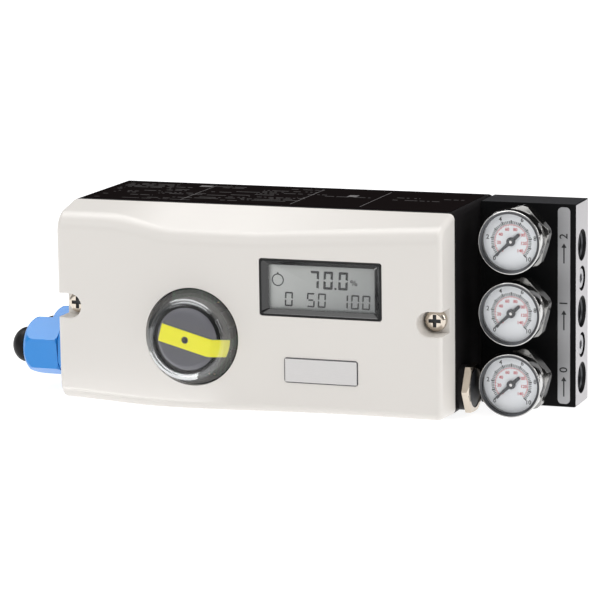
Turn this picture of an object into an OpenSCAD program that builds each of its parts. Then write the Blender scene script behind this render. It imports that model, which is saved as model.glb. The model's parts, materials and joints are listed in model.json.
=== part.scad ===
// Electro-pneumatic valve positioner with a gauge block and two cable glands.
// Origin: feedback shaft axis on the mounting face. +X right, +Y out of the back, +Z up.

/* [Housing] */
// Width of the housing, end to end
housing_w = 180; // [172:1:200]
// Height of the housing
housing_h = 89; // [86:1:100]
// Depth of the housing, from the mounting face to the gasket
housing_d = 59.4; // [57:0.2:70]
// Side walls of the casting
wall = 4; // [3:0.25:4.5]
// Back wall of the casting
back_wall = 5; // [4:0.5:7]
// Corner radius of the casting and of the cover's ends
corner_r = 2.5; // [1:0.25:3]
// Shaft axis from the left end
shaft_from_left = 64.6; // [62:0.2:68]
// Shaft axis above the bottom
shaft_from_bottom = 32.5; // [31:0.5:36]

/* [Cover] */
// Depth of the cover, from the gasket to its front
cover_d = 20; // [18:0.5:24]
// Wall of the cover
cover_wall = 3; // [2.5:0.25:3.5]
// Thickness of the gasket under the cover
gasket_t = 0.6; // [0.4:0.1:1]
// Drop of the shoulder at the ends
shoulder_low = 4.5; // [3:0.25:6]
// Drop of the shoulder at the deepest part of the wave
shoulder_high = 11.3; // [8:0.25:13]
// Radius where the shoulder rolls into the front
shoulder_r = 8.5; // [6:0.25:10]
// Radius along the lower front edge, at the left end
sill_left_r = 6; // [4:0.25:7]
// Radius along the lower front edge, at the right end
sill_right_r = 3.5; // [3.5:0.25:6]
// Rise of the underside towards the front, at the ends
sill_lift = 1.3; // [0.5:0.1:2]
// Depth of the belly in the underside
belly = 2.6; // [0:0.1:3]
// Radius of a cover screw's pocket
pocket_r = 5.5; // [5.25:0.25:7]
// Depth of the pocket below the front
pocket_d = 12.4; // [10:0.2:15]
// Cover screw axis from the end of the cover
screw_from_end = 5.8; // [5.5:0.1:7]
// Cover screw axis above the shaft axis
screw_up = 11; // [8:0.5:14]

/* [Indicator] */
// Diameter of the window at the cover
window_d = 43; // [41:0.5:45]
// Diameter of the window at its front
window_front_d = 35.5; // [34.5:0.5:38]
// How far the window stands out of the cover
window_out = 11; // [10:0.5:14]
// Wall of the window
window_wall = 1.7; // [1.4:0.1:2]
// Radius where the window's side rolls into its front
window_roll = 5; // [2.5:0.25:6]
// Diameter of the indicator cup's face
cup_d = 25; // [22:0.5:26]
// Diameter of the indicator cup at its foot
cup_foot_d = 36; // [33:0.5:37]
// Width of the indicator stripe
stripe_w = 8; // [5:0.5:10]
// Clockwise tilt of the stripe at rest
stripe_tilt = 15; // [0:1:40]

/* [Display] */
// Width of the display frame
display_w = 56.3; // [54:0.1:60]
// Height of the display frame
display_h = 25.4; // [24:0.1:28]
// Width of the view through the frame
view_w = 48.8; // [46:0.1:50]
// Height of the view through the frame
view_h = 19.7; // [18:0.1:21]
// Display centre to the right of the shaft axis
display_x = 60.4; // [58:0.2:64]
// Display centre above the shaft axis
display_z = 24; // [22:0.5:26]
// Width of the name plate
plate_w = 34; // [30:0.5:40]
// Height of the name plate
plate_h = 11.1; // [9:0.1:12]
// Name plate centre below the shaft axis
plate_down = 12.4; // [11:0.1:14]

/* [Shaft and bracket] */
// Diameter of the shaft's free end
shaft_d = 10; // [8:0.5:11]
// Diameter of the journal in the bush
journal_d = 12; // [11.5:0.5:13]
// Length of the free end behind the mounting face
shaft_out = 22; // [18:1:30]
// Where the round seat of the lever ends and the flatted tip begins
lever_seat = 11; // [8:1:14]
// Bracket screw hole, tap drill diameter
bracket_hole_d = 6.8; // [5:0.1:8]
// Distance between bracket holes, across
bracket_x = 60; // [58:1:66]
// Distance between bracket holes, up and down
bracket_z = 35; // [34:1:38]
// Depth of a bracket hole
bracket_hole_deep = 12; // [8:1:14]

/* [Gauge block] */
// Width of the block
block_w = 43.7; // [40:0.1:50]
// Depth of the block
block_d = 20.6; // [20:0.1:26]
// How far the block hangs below the housing
block_below = 2.1; // [0:0.1:6]
// Port, tap drill diameter
port_d = 11.8; // [10:0.1:12.5]
// Diameter of the countersink at a port's mouth
port_mouth_d = 14.2; // [13:0.1:16]
// Depth of a port
port_deep = 14; // [12:1:18]
// Distance between ports
port_pitch = 30; // [28:0.5:31]
// Middle port below the middle of the block
port_drop = 3.95; // [2:0.05:5]
// Distance between gauges
gauge_pitch = 31.7; // [30:0.1:34]
// Middle gauge above the middle of the block
gauge_rise = 0.65; // [0:0.05:2]
// Diameter of a gauge's bezel
gauge_d = 28.3; // [26:0.1:29.5]
// Front of a gauge from the block
gauge_out = 30.4; // [29:0.1:36]
// Size across the flats of a gauge's hexagon
gauge_hex = 27; // [24:0.5:27]
// Length of a gauge's hexagon
gauge_hex_l = 7; // [5:0.5:9]
// Diameter of a gauge's neck, behind its hexagon
gauge_neck_d = 15; // [13:0.5:18]
// Length of a gauge's neck
gauge_neck_l = 13; // [11:0.5:14]

/* [Glands and vent] */
// Size across the flats of a gland
gland_hex = 24; // [22:0.5:26]
// Diameter of a gland's thread
gland_thread_d = 20; // [18:0.5:20]
// Length of a gland outside the housing
gland_out = 30; // [26:0.5:36]
// Front gland axis in front of the mounting face
gland_front = 45; // [44:0.5:46]
// Distance between the glands
gland_pitch = 29; // [27.5:0.5:30]
// Gland axes below the shaft axis
gland_down = 15; // [12:0.5:17]
// Size across the flats of the vent's hexagon
vent_hex = 19.5; // [15:0.5:20]
// Vent axis behind the gasket
vent_back = 10.4; // [10.2:0.1:16]
// Vent axis below the shaft axis
vent_down = 22.1; // [18:0.1:22.4]

/* [Electronics] */
// Front of the main board from the mounting face
board_front = 44; // [42:0.5:46]
// Thickness of the main board
board_t = 1.6; // [1:0.1:2]
// Distance between push buttons
button_pitch = 10; // [9:0.5:12]
// Diameter of a push button's cap
button_d = 6; // [5:0.25:7]
// Travel of a push button
button_travel = 0.8; // [0.5:0.1:1]
// Distance between terminals
terminal_pitch = 5; // [4.5:0.25:5.5]

/* [Fits] */
// Radial clearance of a turning or sliding shaft
run_gap = 0.05; // [0.02:0.01:0.08]
// Clearance of a piece in its seat
seat_gap = 0.1; // [0.05:0.05:0.2]
// Clearance between pieces that pass each other
pass_gap = 0.4; // [0.3:0.1:0.6]

/* [Hidden] */
$fn = 96;

// Planes of the part
x_left = -shaft_from_left;
x_right = housing_w - shaft_from_left;
z_low = -shaft_from_bottom;
z_high = housing_h - shaft_from_bottom;
y_rim = -housing_d;
y_seat = y_rim - gasket_t;
y_front = y_seat - cover_d;
x_mid = (x_left + x_right) / 2;
nib = 1;
hole_floor = 3;

// Cover screws: pan heads in the pockets, shanks in posts of the housing
screw_d = 5;
screw_head_d = 9.7;
screw_head_h = 3.4;
screw_head_edge = 1.5;
screw_head_roll = 2;
cross_w = 1.6;
cross_reach = 5.6;
cross_deep = 2;
screw_grip = 9;
post_r = 6.5;
post_l = 27;
y_pocket = y_front + pocket_d;
screw_xs = [x_left + screw_from_end, x_right - screw_from_end];

// Shape of the cover, measured from its left end
wave_start = 22;
wave_end = 58;
wave_hold = 94;
belly_at = 48;
cover_step = 6;
roll_steps = 8;
sill_steps = 5;
round_steps = 6;
end_steps = 4;
end_min_r = 0.8;

// Display stack, from the front backwards
frame_t = 1.8;
pane_t = 0.9;
glass_t = 2.4;
pane_rim = 2;
frame_rim = 1;
frame_over = 0.2;
glass_rim = 2;
glass_lip = 1.5;
plate_t = 0.8;
plate_sunk = 0.4;
plate_corner = 1.2;
y_pane = y_front + frame_t;
y_glass = y_pane + pane_t + pass_gap;

// Indicator
flange_out = 3;
flange_t = 1.8;
seal_t = 0.8;
window_lean = atan((window_d - window_front_d) / 2 / window_out);
cup_t = 1.8;
cup_skirt = 9;
cup_roll = 2;
cup_lean = atan((cup_foot_d - cup_d) / 2 / cup_skirt);
stripe_t = 0.3;
stripe_side = 8.4;
stripe_glue = 0.02;
stripe_inset = 0.3;
y_window = y_front - window_out;
y_cup = y_window + window_wall + stripe_t + 2 * pass_gap;
y_flange = y_front + cover_wall + seal_t;
spindle_d = 8;
cup_screw_d = 2;
cup_screw_head_d = 3;
cup_screw_head_h = 0.9;
cup_screw_l = 8;
cup_hub_d = 12;
cup_hub_l = 9;
spindle_in = 4;

// Shaft support in the back wall
seal_d = 22;
seal_deep = 4;
bush_d = 16;
bush_l = 14;
bush_flange_d = 20;
bush_flange_t = 2;
boss_r = 13;
boss_wall = 4.5;
seal_lip = 0.6;
y_bush = -seal_deep - seat_gap;
y_boss = y_bush - bush_l + bush_flange_t;
collar_d = 17;
collar_t = 3;
y_collar = y_boss - bush_flange_t - pass_gap;
tip_d = shaft_d - 2 * pass_gap;
flat_depth = 0.8;
journal_out = 1;

// Position sensor round the shaft
sensor_r = 20;
sensor_wall = 2;
sensor_front = 34;
rotor_r = 15;
rotor_t = 3;
rotor_hub_r = 7;
rotor_hub_l = 5;

// Boards and what they carry
board_margin = 3.5;
board_end = 2.6;
board_left = x_left + wall + board_end;
board_step = -24;
board_top = z_high - wall - board_margin;
board_low = z_low + wall + board_margin;
board_right = screw_xs[1] - post_r - nib;
board_hole_r = 9;
post_hole_d = 3.2;
pillar_r = 4;
pillar_inset = 6;
board_head_d = 5.6;
board_head_h = 2;
y_board = -board_front;
holder_wall = 2;
holder_lip = 3;
buttons = ["mode", "enter", "up", "down"];
button_z = -6;
switch_w = 8;
switch_h = 14;
stem_d = 3.4;
stem_in = 5;
cap_h = 5;
y_switch = y_board - switch_h;
y_cap = y_switch - button_travel - pass_gap;
terminals = 8;
terminal_end = 1;
terminal_w = terminals * terminal_pitch + 2 * terminal_end;
terminal_h = 16;
terminal_d = 13;
terminal_margin = 5;
terminal_inset = 2;
terminal_x = board_left + terminal_inset;
terminal_z = board_top - terminal_margin - terminal_h;
terminal_screw_d = 3.4;
terminal_screw_l = 6;
terminal_screw_up = 5.6;
terminal_screw_sunk = 1;
terminal_slot = 0.7;
wire_hole_d = 3;
wire_hole_l = 4;
wire_hole_back = 5.2;
y_terminal = y_board - terminal_d;
board_ledge = 4;
board_ledge_z = terminal_z - board_ledge;

// Pneumatics
block_left = x_right;
block_right = x_right + block_w;
block_top = z_high;
block_low = z_low - block_below;
block_mid = (block_top + block_low) / 2;
block_y = -block_d / 2;
block_edge = 0.6;
port_mid = block_mid - port_drop;
ports_z = [for (i = [1, 0, -1]) port_mid + i * port_pitch];
bolts_z = [for (i = [0.5, -0.5]) port_mid + i * port_pitch];
air_d = 5;
bolt_d = 5;
bolt_head_d = 8.7;
bolt_head_h = 5;
bolt_sink_d = 11.2;
bolt_sink = 5.5;
bolt_grip = 12;
bolt_key = 4;
bolt_key_deep = 2.6;
ring_r = 5.2;
ring_wire = 0.9;
manifold_w = 16;
manifold_d = 18;
manifold_low = 3;
manifold_high = 6;
manifold_floor = 4;
pillar_right = x_right - wall - manifold_w - pillar_r - nib;
pillar_left = terminal_x + terminal_w + pillar_r + nib;
pillar_low = board_low + pillar_inset;
pillar_high = board_top - pillar_inset;
pillars = [[board_step + pillar_inset, pillar_low], [pillar_right, pillar_low],
           [pillar_right, pillar_high], [pillar_left, pillar_high]];
module_w = 34;
module_h = 40;
module_d = 14;
module_case_d = 8.4;
module_corner = 2;
coil_r = 9;
strip_w = 5.6;
strip_t = 0.3;
strip_edge = 2.6;
strip_margin = 1.4;
strip_corner = 2;
label_edge = 3;
label_t = 0.2;
label_corner = 2;
gasket_edge = 0.4;
gasket_w = 2;

// Gauges, from the block forwards
gauge_x = block_left + block_w / 2;
gauges_z = [for (i = [1, 0, -1]) block_mid + gauge_rise + i * gauge_pitch];
gauge_turn = [-14, -16, -13];
socket_edge = 1.2;
stem_dia = 9.7;
stem_deep = 9;
y_block = -block_d;
y_hex = y_block - gauge_neck_l;
y_case = y_hex - gauge_hex_l;
y_gauge = y_block - gauge_out;
case_wall = 1.3;
case_edge = 1;
bezel_l = 6;
bezel_lip = 0.6;
bezel_roll = 0.9;
bezel_w = 1.45;
dial_r = gauge_d / 2 - bezel_w;
crystal_over = 0.45;
lip_over = 0.2;
dial_seat = 0.6;
dial_t = 0.5;
crystal_t = 1.2;
crystal_back = 1.7;
dial_back = 3.6;
y_dial = y_gauge + dial_back;
y_crystal = y_gauge + crystal_back;
spigot_r = 4.5;
spigot_l = 5;
arm_w = 3.5;
arm_l = 3;
tube_r = 8.4;
tube_d = 2.4;
tube_sweep = 250;
needle_zero = 222;
needle_len = 10.4;
needle_tail = 5;
needle_t = 0.4;
needle_w = 0.9;
needle_tail_w = 0.7;
needle_tip_w = 0.25;
hub_r = 1.95;
hub_t = 0.7;
pin_d = 1;

// Glands, outwards from the left end
glands_y = [-gland_front, -gland_front + gland_pitch];
gland_flange_t = 9.8;
gland_in = 6;
gland_ring_t = 1.2;
gland_bore = 13;
gland_neck_d = 17.5;
gland_neck_l = 9;
gland_edge = 1;
gland_turn = 8;
nut_start = gland_flange_t + gland_ring_t + pass_gap;
nut_edge = 1;
nut_round = 7;
nut_play = 3;
plug_d = 16.4;
plug_seat = 0.05;
plug_edge = 1;
plug_out = 8;
plug_in = 10;
plug_arc = 80;

// Vent
vent_boss_r = 10;
vent_boss_h = 2.4;
vent_stem_d = 12;
vent_hex_t = 2.4;
vent_rim = 2.2;
vent_edge = 1;
vent_bevel = 2.2;
vent_in = 2;
y_vent = y_rim + vent_back;
filter_deep = 1.4;
filter_t = 1.1;

function clamp01(t) = min(max(t, 0), 1);
function smooth(t) = clamp01(t) * clamp01(t) * (3 - 2 * clamp01(t));

// Drop of the cover's shoulder and rise of its underside, at a distance from its left end
function shoulder_drop(u) = shoulder_low + (shoulder_high - shoulder_low)
    * (u < wave_hold ? smooth((u - wave_start) / (wave_end - wave_start))
                     : 1 - clamp01((u - wave_hold) / (housing_w - wave_hold)));
function fade(t) = (1 - smooth(t)) * (1 - smooth(t));
function underside_rise(u) = sill_lift - belly
    * (u < belly_at ? smooth(u / belly_at) : fade((u - belly_at) / (housing_w - belly_at)));

// One cross-section of the cover as [y, z] points: shoulder, roll, front and sill
function cover_section(u, inset, back) =
    let (end_r = max(corner_r - inset, end_min_r),
         v = max(min(u, housing_w - u) - inset, 0),
         end = v < end_r ? end_r - sqrt(end_r * end_r - (end_r - v) * (end_r - v)) : 0,
         yf = y_front + inset + end,
         slope = atan(shoulder_drop(u) / cover_d),
         rise = atan(underside_rise(u) / cover_d),
         top_back = z_high - inset - end + (back - y_seat) * tan(slope),
         low_back = z_low + inset + end - (back - y_seat) * tan(rise),
         roll = max(shoulder_r - inset, nib),
         sill = max(sill_left_r + (sill_right_r - sill_left_r) * u / housing_w - inset, nib),
         roll_z = top_back - (back - yf) * tan(slope) - roll / tan((90 + slope) / 2),
         sill_z = low_back + (back - yf) * tan(rise) + sill / tan((90 + rise) / 2))
    concat([[back, top_back]],
           [for (k = [0:roll_steps]) let (a = 90 + slope + (90 - slope) * k / roll_steps)
               [yf + roll + roll * cos(a), roll_z + roll * sin(a)]],
           [for (k = [0:sill_steps]) let (a = 180 + (90 - rise) * k / sill_steps)
               [yf + sill + sill * cos(a), sill_z + sill * sin(a)]],
           [[back, low_back]]);

// Stations along the cover: close together round the ends, even between them
function cover_stations(inset) =
    let (r = max(corner_r - inset, end_min_r),
         span = housing_w - 2 * (inset + r),
         steps = round(span / cover_step),
         ends = [for (k = [0:end_steps - 1]) inset + r * (1 - cos(90 * k / end_steps))])
    concat(ends, [for (k = [0:steps]) inset + r + span * k / steps],
           [for (k = [end_steps - 1:-1:0]) housing_w - ends[k]]);

module cover_loft(inset, back) {
    stations = cover_stations(inset);
    rings = [for (u = stations) [for (p = cover_section(u, inset, back)) [x_left + u, p[0], p[1]]]];
    n = len(rings[0]);
    last = len(rings) - 1;
    polyhedron(
        points = [for (ring = rings, p = ring) p],
        faces = concat(
            [for (i = [0:last - 1], j = [0:n - 1]) let (k = (j + 1) % n)
                [i * n + j, (i + 1) * n + j, (i + 1) * n + k]],
            [for (i = [0:last - 1], j = [0:n - 1]) let (k = (j + 1) % n)
                [i * n + j, (i + 1) * n + k, i * n + k]],
            [[for (j = [0:n - 1]) j], [for (j = [n - 1:-1:0]) last * n + j]]));
}

// Shapes that repeat
module slab(front, back) {
    translate([0, back, 0]) rotate([90, 0, 0]) linear_extrude(back - front) children();
}
module rod(d, front, back) {
    translate([0, back, 0]) rotate([90, 0, 0]) cylinder(d = d, h = back - front);
}
module tube(d, bore, front, back) {
    difference() {
        rod(d, front, back);
        rod(bore, front - nib, back + nib);
    }
}
module spun(profile) {
    rotate([90, 0, 0]) rotate_extrude() polygon(profile);
}
module rounded(x0, z0, x1, z1, r) {
    translate([x0 + r, z0]) square([x1 - x0 - 2 * r, z1 - z0]);
    translate([x0, z0 + r]) square([x1 - x0, z1 - z0 - 2 * r]);
    for (x = [x0 + r, x1 - r], z = [z0 + r, z1 - r]) translate([x, z]) circle(r, $fn = 48);
}
module box_at(x, z, w, h) {
    translate([x - w / 2, z - h / 2]) square([w, h]);
}
module outline(inset, r) {
    rounded(x_left + inset, z_low + inset, x_right - inset, z_high - inset, r);
}
module to_right(x, y, z) {
    translate([x, y, z]) rotate([0, 90, 0]) children();
}
module to_left(x, y, z) {
    translate([x, y, z]) rotate([0, -90, 0]) children();
}
function arc(cx, cy, r, a0, a1, n) =
    [for (k = [0:n]) let (a = a0 + (a1 - a0) * k / n) [cx + r * cos(a), cy + r * sin(a)]];
function rolled(r, h, roll, lean, grow) =
    arc(r - roll * tan((90 - lean) / 2), h - roll, roll + grow, lean, 90, round_steps);
function reversed(points) = [for (k = [len(points) - 1:-1:0]) points[k]];
function hex_r(flats) = flats / 2 / cos(30);

// Root body: casting and what is fixed in it
module bracket_places() {
    for (x = [-bracket_x / 2, bracket_x / 2], z = [-bracket_z / 2, bracket_z / 2])
        translate([x, 0, z]) children();
}
module screw_places() {
    for (x = screw_xs) translate([x, 0, screw_up]) children();
}
module pillar_places() {
    for (p = pillars) translate([p[0], 0, p[1]]) children();
}
module housing() {
    color("#1c1b1c") difference() {
        union() {
            difference() {
                slab(y_rim, 0) outline(0, corner_r);
                slab(y_rim - nib, -back_wall) outline(wall, corner_r / 2);
            }
            rod(2 * boss_r, y_boss, -back_wall / 2);
            bracket_places()
                rod(bracket_hole_d + 2 * boss_wall, -bracket_hole_deep - hole_floor, -back_wall / 2);
            pillar_places() rod(2 * pillar_r, y_board + board_t, -back_wall / 2);
            intersection() {
                slab(y_rim, -back_wall / 2) outline(wall / 2, corner_r / 2);
                screw_places() rod(2 * post_r, y_rim, y_rim + post_l);
            }
            to_right(x_right - wall / 2, y_vent, -vent_down)
                cylinder(r = vent_boss_r, h = wall / 2 + vent_boss_h);
        }
        rod(seal_d + 2 * seat_gap, -seal_deep, nib);
        rod(bush_d + 2 * seat_gap, y_boss - nib, nib);
        bracket_places() rod(bracket_hole_d, -bracket_hole_deep, nib);
        pillar_places() rod(post_hole_d, y_board, y_board + board_t + screw_grip + hole_floor);
        screw_places() rod(screw_d + 2 * seat_gap, y_rim - nib, y_rim + screw_grip + hole_floor);
        for (y = glands_y) to_left(x_left + wall + nib, y, -gland_down)
            cylinder(d = gland_thread_d + 2 * seat_gap, h = wall + 2 * nib);
        to_right(x_right - wall - nib, y_vent, -vent_down)
            cylinder(d = vent_stem_d + 2 * seat_gap, h = wall + vent_boss_h + 2 * nib);
        for (z = ports_z) to_right(x_right - wall - nib, block_y, z)
            cylinder(d = air_d, h = wall + 2 * nib);
        for (z = bolts_z) to_right(x_right - wall - nib, block_y, z)
            cylinder(d = bolt_d + 2 * seat_gap, h = wall + 2 * nib);
    }
}
module cover_gasket() {
    color("#161616") slab(y_seat, y_rim) difference() {
        outline(gasket_edge, corner_r - gasket_edge);
        outline(gasket_edge + gasket_w, corner_r / 2);
    }
}
module top_label() {
    color("#1a1615") translate([0, 0, z_high]) linear_extrude(label_t)
        rounded(x_left + label_edge, y_rim + label_edge, x_right - label_edge, -label_edge, label_corner);
}
module shaft_bush() {
    bore = journal_d + 2 * run_gap;
    color("#b08d4a") difference() {
        union() {
            rod(bush_d, y_boss - bush_flange_t, y_bush);
            rod(bush_flange_d, y_boss - bush_flange_t, y_boss);
        }
        rod(bore, y_boss - bush_flange_t - nib, nib);
    }
}
module shaft_seal() {
    color("#202020") tube(seal_d, journal_d + 2 * run_gap, -seal_deep, -seal_lip);
}
module sensor_housing() {
    color("#2c3138") difference() {
        rod(2 * sensor_r, -sensor_front, -back_wall);
        rod(2 * (sensor_r - sensor_wall), -sensor_front + sensor_wall, nib);
        rod(spindle_d + 2 * pass_gap, -sensor_front - nib, nib);
    }
}
module board_outline() {
    difference() {
        union() {
            translate([board_step, board_low]) square([board_right - board_step, board_top - board_low]);
            translate([board_left, board_ledge_z])
                square([board_right - board_left, board_top - board_ledge_z]);
        }
        circle(board_hole_r);
        for (p = pillars) translate(p) circle(d = post_hole_d + 2 * seat_gap, $fn = 32);
    }
}
module main_board() {
    color("#1f6b3a") slab(y_board, y_board + board_t) board_outline();
}
module board_screws() {
    color("#c9c9cb") pillar_places() {
        rod(board_head_d, y_board - board_head_h, y_board);
        rod(post_hole_d - 2 * seat_gap, y_board, y_board + board_t + screw_grip);
    }
}
module display_holder() {
    color("#2a2a2c") slab(y_glass + glass_t, y_board) difference() {
        box_at(display_x, display_z, view_w + 2 * holder_lip, view_h + 2 * holder_wall);
        box_at(display_x, display_z, view_w + 2 * (holder_lip - holder_wall), view_h);
    }
}
module display_glass() {
    color("#9aa09a") slab(y_glass, y_glass + glass_t)
        box_at(display_x, display_z, view_w + 2 * glass_rim, view_h + 2 * glass_lip);
}
module button_at(i) {
    translate([display_x + (i - (len(buttons) - 1) / 2) * button_pitch, 0, button_z]) children();
}
module button_switches() {
    color("#303033") for (i = [0:len(buttons) - 1]) button_at(i) difference() {
        slab(y_switch, y_board) box_at(0, 0, switch_w, switch_w);
        rod(stem_d + 2 * run_gap, y_switch - nib, y_switch + stem_in + button_travel + pass_gap);
    }
}
module push_button(i) {
    color("#d8d8d4") button_at(i) {
        rod(button_d, y_cap - cap_h, y_cap);
        rod(stem_d, y_cap, y_switch + stem_in);
    }
}
module terminal_at(i) {
    translate([terminal_x + terminal_end + (i + 0.5) * terminal_pitch, 0, terminal_z]) children();
}
module terminal_block() {
    color("#3c8a4c") difference() {
        slab(y_terminal, y_board) translate([terminal_x, terminal_z]) square([terminal_w, terminal_h]);
        for (i = [0:terminals - 1]) terminal_at(i) {
            translate([0, 0, terminal_screw_up]) rod(terminal_screw_d + 2 * seat_gap,
                y_terminal - nib, y_terminal + terminal_screw_sunk + terminal_screw_l);
            translate([0, y_board - wire_hole_back, -nib])
                cylinder(d = wire_hole_d, h = wire_hole_l + nib, $fn = 32);
        }
    }
}
module terminal_screws() {
    y_head = y_terminal + terminal_screw_sunk;
    color("#c4c2ba") for (i = [0:terminals - 1]) terminal_at(i) translate([0, 0, terminal_screw_up])
        difference() {
            rod(terminal_screw_d, y_head, y_head + terminal_screw_l);
            slab(y_head - nib, y_head + nib) box_at(0, 0, terminal_screw_d + nib, terminal_slot);
        }
}
module manifold() {
    x0 = x_right - wall - manifold_w;
    z0 = z_low + wall + manifold_low;
    z1 = z_high - wall - manifold_high;
    color("#9c9ea2") difference() {
        slab(-back_wall - manifold_d, -back_wall) translate([x0, z0]) square([manifold_w, z1 - z0]);
        for (z = ports_z) to_right(x0 + manifold_floor, block_y, z) cylinder(d = air_d, h = manifold_w);
        for (z = bolts_z) to_right(x0, block_y, z)
            cylinder(d = bolt_d + 2 * seat_gap, h = manifold_w + nib);
    }
}
module pneumatic_module() {
    x1 = x_right - wall - 2 * nib;
    z0 = port_mid - module_h / 2;
    y1 = -back_wall - manifold_d;
    color("#4a4d52") union() {
        slab(y1 - module_case_d, y1) rounded(x1 - module_w, z0, x1, z0 + module_h, module_corner);
        translate([x1 - module_w / 2, 0, port_mid]) rod(2 * coil_r, y1 - module_d, y1 - module_d / 2);
    }
}

// Cable glands on the left end
module gland_seals() {
    color("#191919") for (y = glands_y) to_left(x_left, y, -gland_down) difference() {
        cylinder(d = gland_hex - gland_edge, h = gland_ring_t);
        translate([0, 0, -nib]) cylinder(d = gland_thread_d + 2 * seat_gap, h = gland_ring_t + 2 * nib);
    }
}
module gland_body(y) {
    r = hex_r(gland_hex);
    inner = -wall - gland_in;
    top = gland_ring_t + gland_flange_t;
    color("#4f94dc") to_left(x_left, y, -gland_down) difference() {
        union() {
            translate([0, 0, inner]) cylinder(d = gland_thread_d, h = gland_ring_t - inner);
            intersection() {
                translate([0, 0, gland_ring_t]) cylinder(r = r, h = gland_flange_t, $fn = 6);
                rotate_extrude() polygon([[0, 0], [r, 0], [r, top - gland_edge],
                    [r - 2 * gland_edge, top + nib], [0, top + nib]]);
            }
            translate([0, 0, top - nib]) cylinder(d = gland_neck_d, h = gland_neck_l + nib);
        }
        translate([0, 0, inner - nib]) cylinder(d = gland_bore, h = gland_out - inner);
    }
}
module gland_nut(y) {
    r = hex_r(gland_hex);
    color("#4f94dc") to_left(x_left, y, -gland_down) difference() {
        intersection() {
            rotate([0, 0, -gland_turn]) translate([0, 0, nut_start]) cylinder(r = r, h = gland_out, $fn = 6);
            rotate_extrude() polygon(concat(
                [[0, nut_start], [r - nut_edge, nut_start], [r, nut_start + nut_edge]],
                arc(r - nut_round, gland_out - nut_round, nut_round, 0, 90, 2 * round_steps),
                [[0, gland_out]]));
        }
        translate([0, 0, nut_start - nib])
            cylinder(d = gland_neck_d + 2 * seat_gap, h = gland_neck_l + nut_play);
        cylinder(d = gland_bore + 2 * seat_gap, h = gland_out + nib);
    }
}
module gland_plug(y) {
    r = plug_d / 2;
    stem = gland_bore / 2 - seat_gap;
    seat = gland_out + plug_seat;
    swell = plug_out - plug_edge;
    color("#1c1b1c") to_left(x_left, y, -gland_down) rotate_extrude()
        polygon(concat([[0, gland_out - plug_in], [stem, gland_out - plug_in], [stem, seat], [r, seat]],
            [for (k = [0:round_steps]) let (a = plug_arc * k / round_steps)
                [r * cos(a), gland_out + plug_edge + swell * sin(a) / sin(plug_arc)]],
            [[0, gland_out + plug_out]]));
}

// Vent on the right end
module vent_body() {
    r = hex_r(vent_hex);
    inner = -vent_boss_h - wall - vent_in;
    color("#c3bfb2") to_right(x_right + vent_boss_h, y_vent, -vent_down) difference() {
        union() {
            intersection() {
                cylinder(r = r, h = vent_hex_t, $fn = 6);
                rotate_extrude() polygon([[0, 0], [r, 0], [r, vent_hex_t - vent_edge],
                    [r - vent_bevel, vent_hex_t], [0, vent_hex_t]]);
            }
            translate([0, 0, inner]) cylinder(d = vent_stem_d, h = nib - inner);
        }
        translate([0, 0, vent_hex_t - filter_deep])
            cylinder(d = vent_hex - 2 * vent_rim, h = filter_deep + nib);
        translate([0, 0, inner - nib]) cylinder(d = air_d, h = vent_hex_t - inner);
    }
}
module vent_filter() {
    color("#26262a") to_right(x_right + vent_boss_h + vent_hex_t - filter_deep, y_vent, -vent_down)
        cylinder(d = vent_hex - 2 * vent_rim - 2 * seat_gap, h = filter_t);
}

// Gauge block on the right end
module gauge_block() {
    mouth_deep = (port_mouth_d - port_d) / 2;
    groove = 2 * ring_wire + seat_gap / 2;
    color("#222224") difference() {
        slab(y_block, 0) rounded(block_left, block_low, block_right, block_top, block_edge);
        for (z = ports_z) to_right(block_right, block_y, z) {
            translate([0, 0, -port_deep]) cylinder(d = port_d, h = port_deep + nib);
            translate([0, 0, -mouth_deep])
                cylinder(d1 = port_d, d2 = port_mouth_d + 2 * nib, h = mouth_deep + nib);
            translate([0, 0, -block_w - nib]) cylinder(d = air_d, h = block_w);
            translate([0, 0, -block_w]) difference() {
                translate([0, 0, -nib]) cylinder(r = ring_r + ring_wire + seat_gap, h = nib + groove);
                translate([0, 0, -2 * nib]) cylinder(r = ring_r - ring_wire - seat_gap, h = 4 * nib);
            }
        }
        for (z = bolts_z) to_right(block_right, block_y, z) {
            translate([0, 0, -bolt_sink]) cylinder(d = bolt_sink_d, h = bolt_sink + nib);
            translate([0, 0, -block_w - nib]) cylinder(d = bolt_d + 2 * seat_gap, h = block_w);
        }
        for (i = [0:len(gauges_z) - 1]) gauge_at(i)
            rod(stem_dia + 2 * seat_gap, y_block - nib, y_block + stem_deep + nib);
    }
}
module port_strip() {
    x1 = block_right - strip_edge;
    color("#c9cacc") slab(y_block - strip_t, y_block)
        rounded(x1 - strip_w, block_low + strip_margin, x1, block_top - strip_margin, strip_corner);
}
module block_screws() {
    shank = block_w - bolt_sink + bolt_grip;
    color("#b9b8b4") for (z = bolts_z) to_right(block_right - bolt_sink, block_y, z) difference() {
        union() {
            cylinder(d = bolt_head_d, h = bolt_head_h);
            translate([0, 0, -shank]) cylinder(d = bolt_d, h = shank + nib);
        }
        translate([0, 0, bolt_head_h - bolt_key_deep])
            cylinder(r = hex_r(bolt_key), h = bolt_key_deep + nib, $fn = 6);
    }
}
module block_rings() {
    color("#141414") for (z = ports_z) to_right(block_left + ring_wire + seat_gap / 4, block_y, z)
        rotate_extrude() translate([ring_r, 0]) circle(ring_wire, $fn = 24);
}

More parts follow.
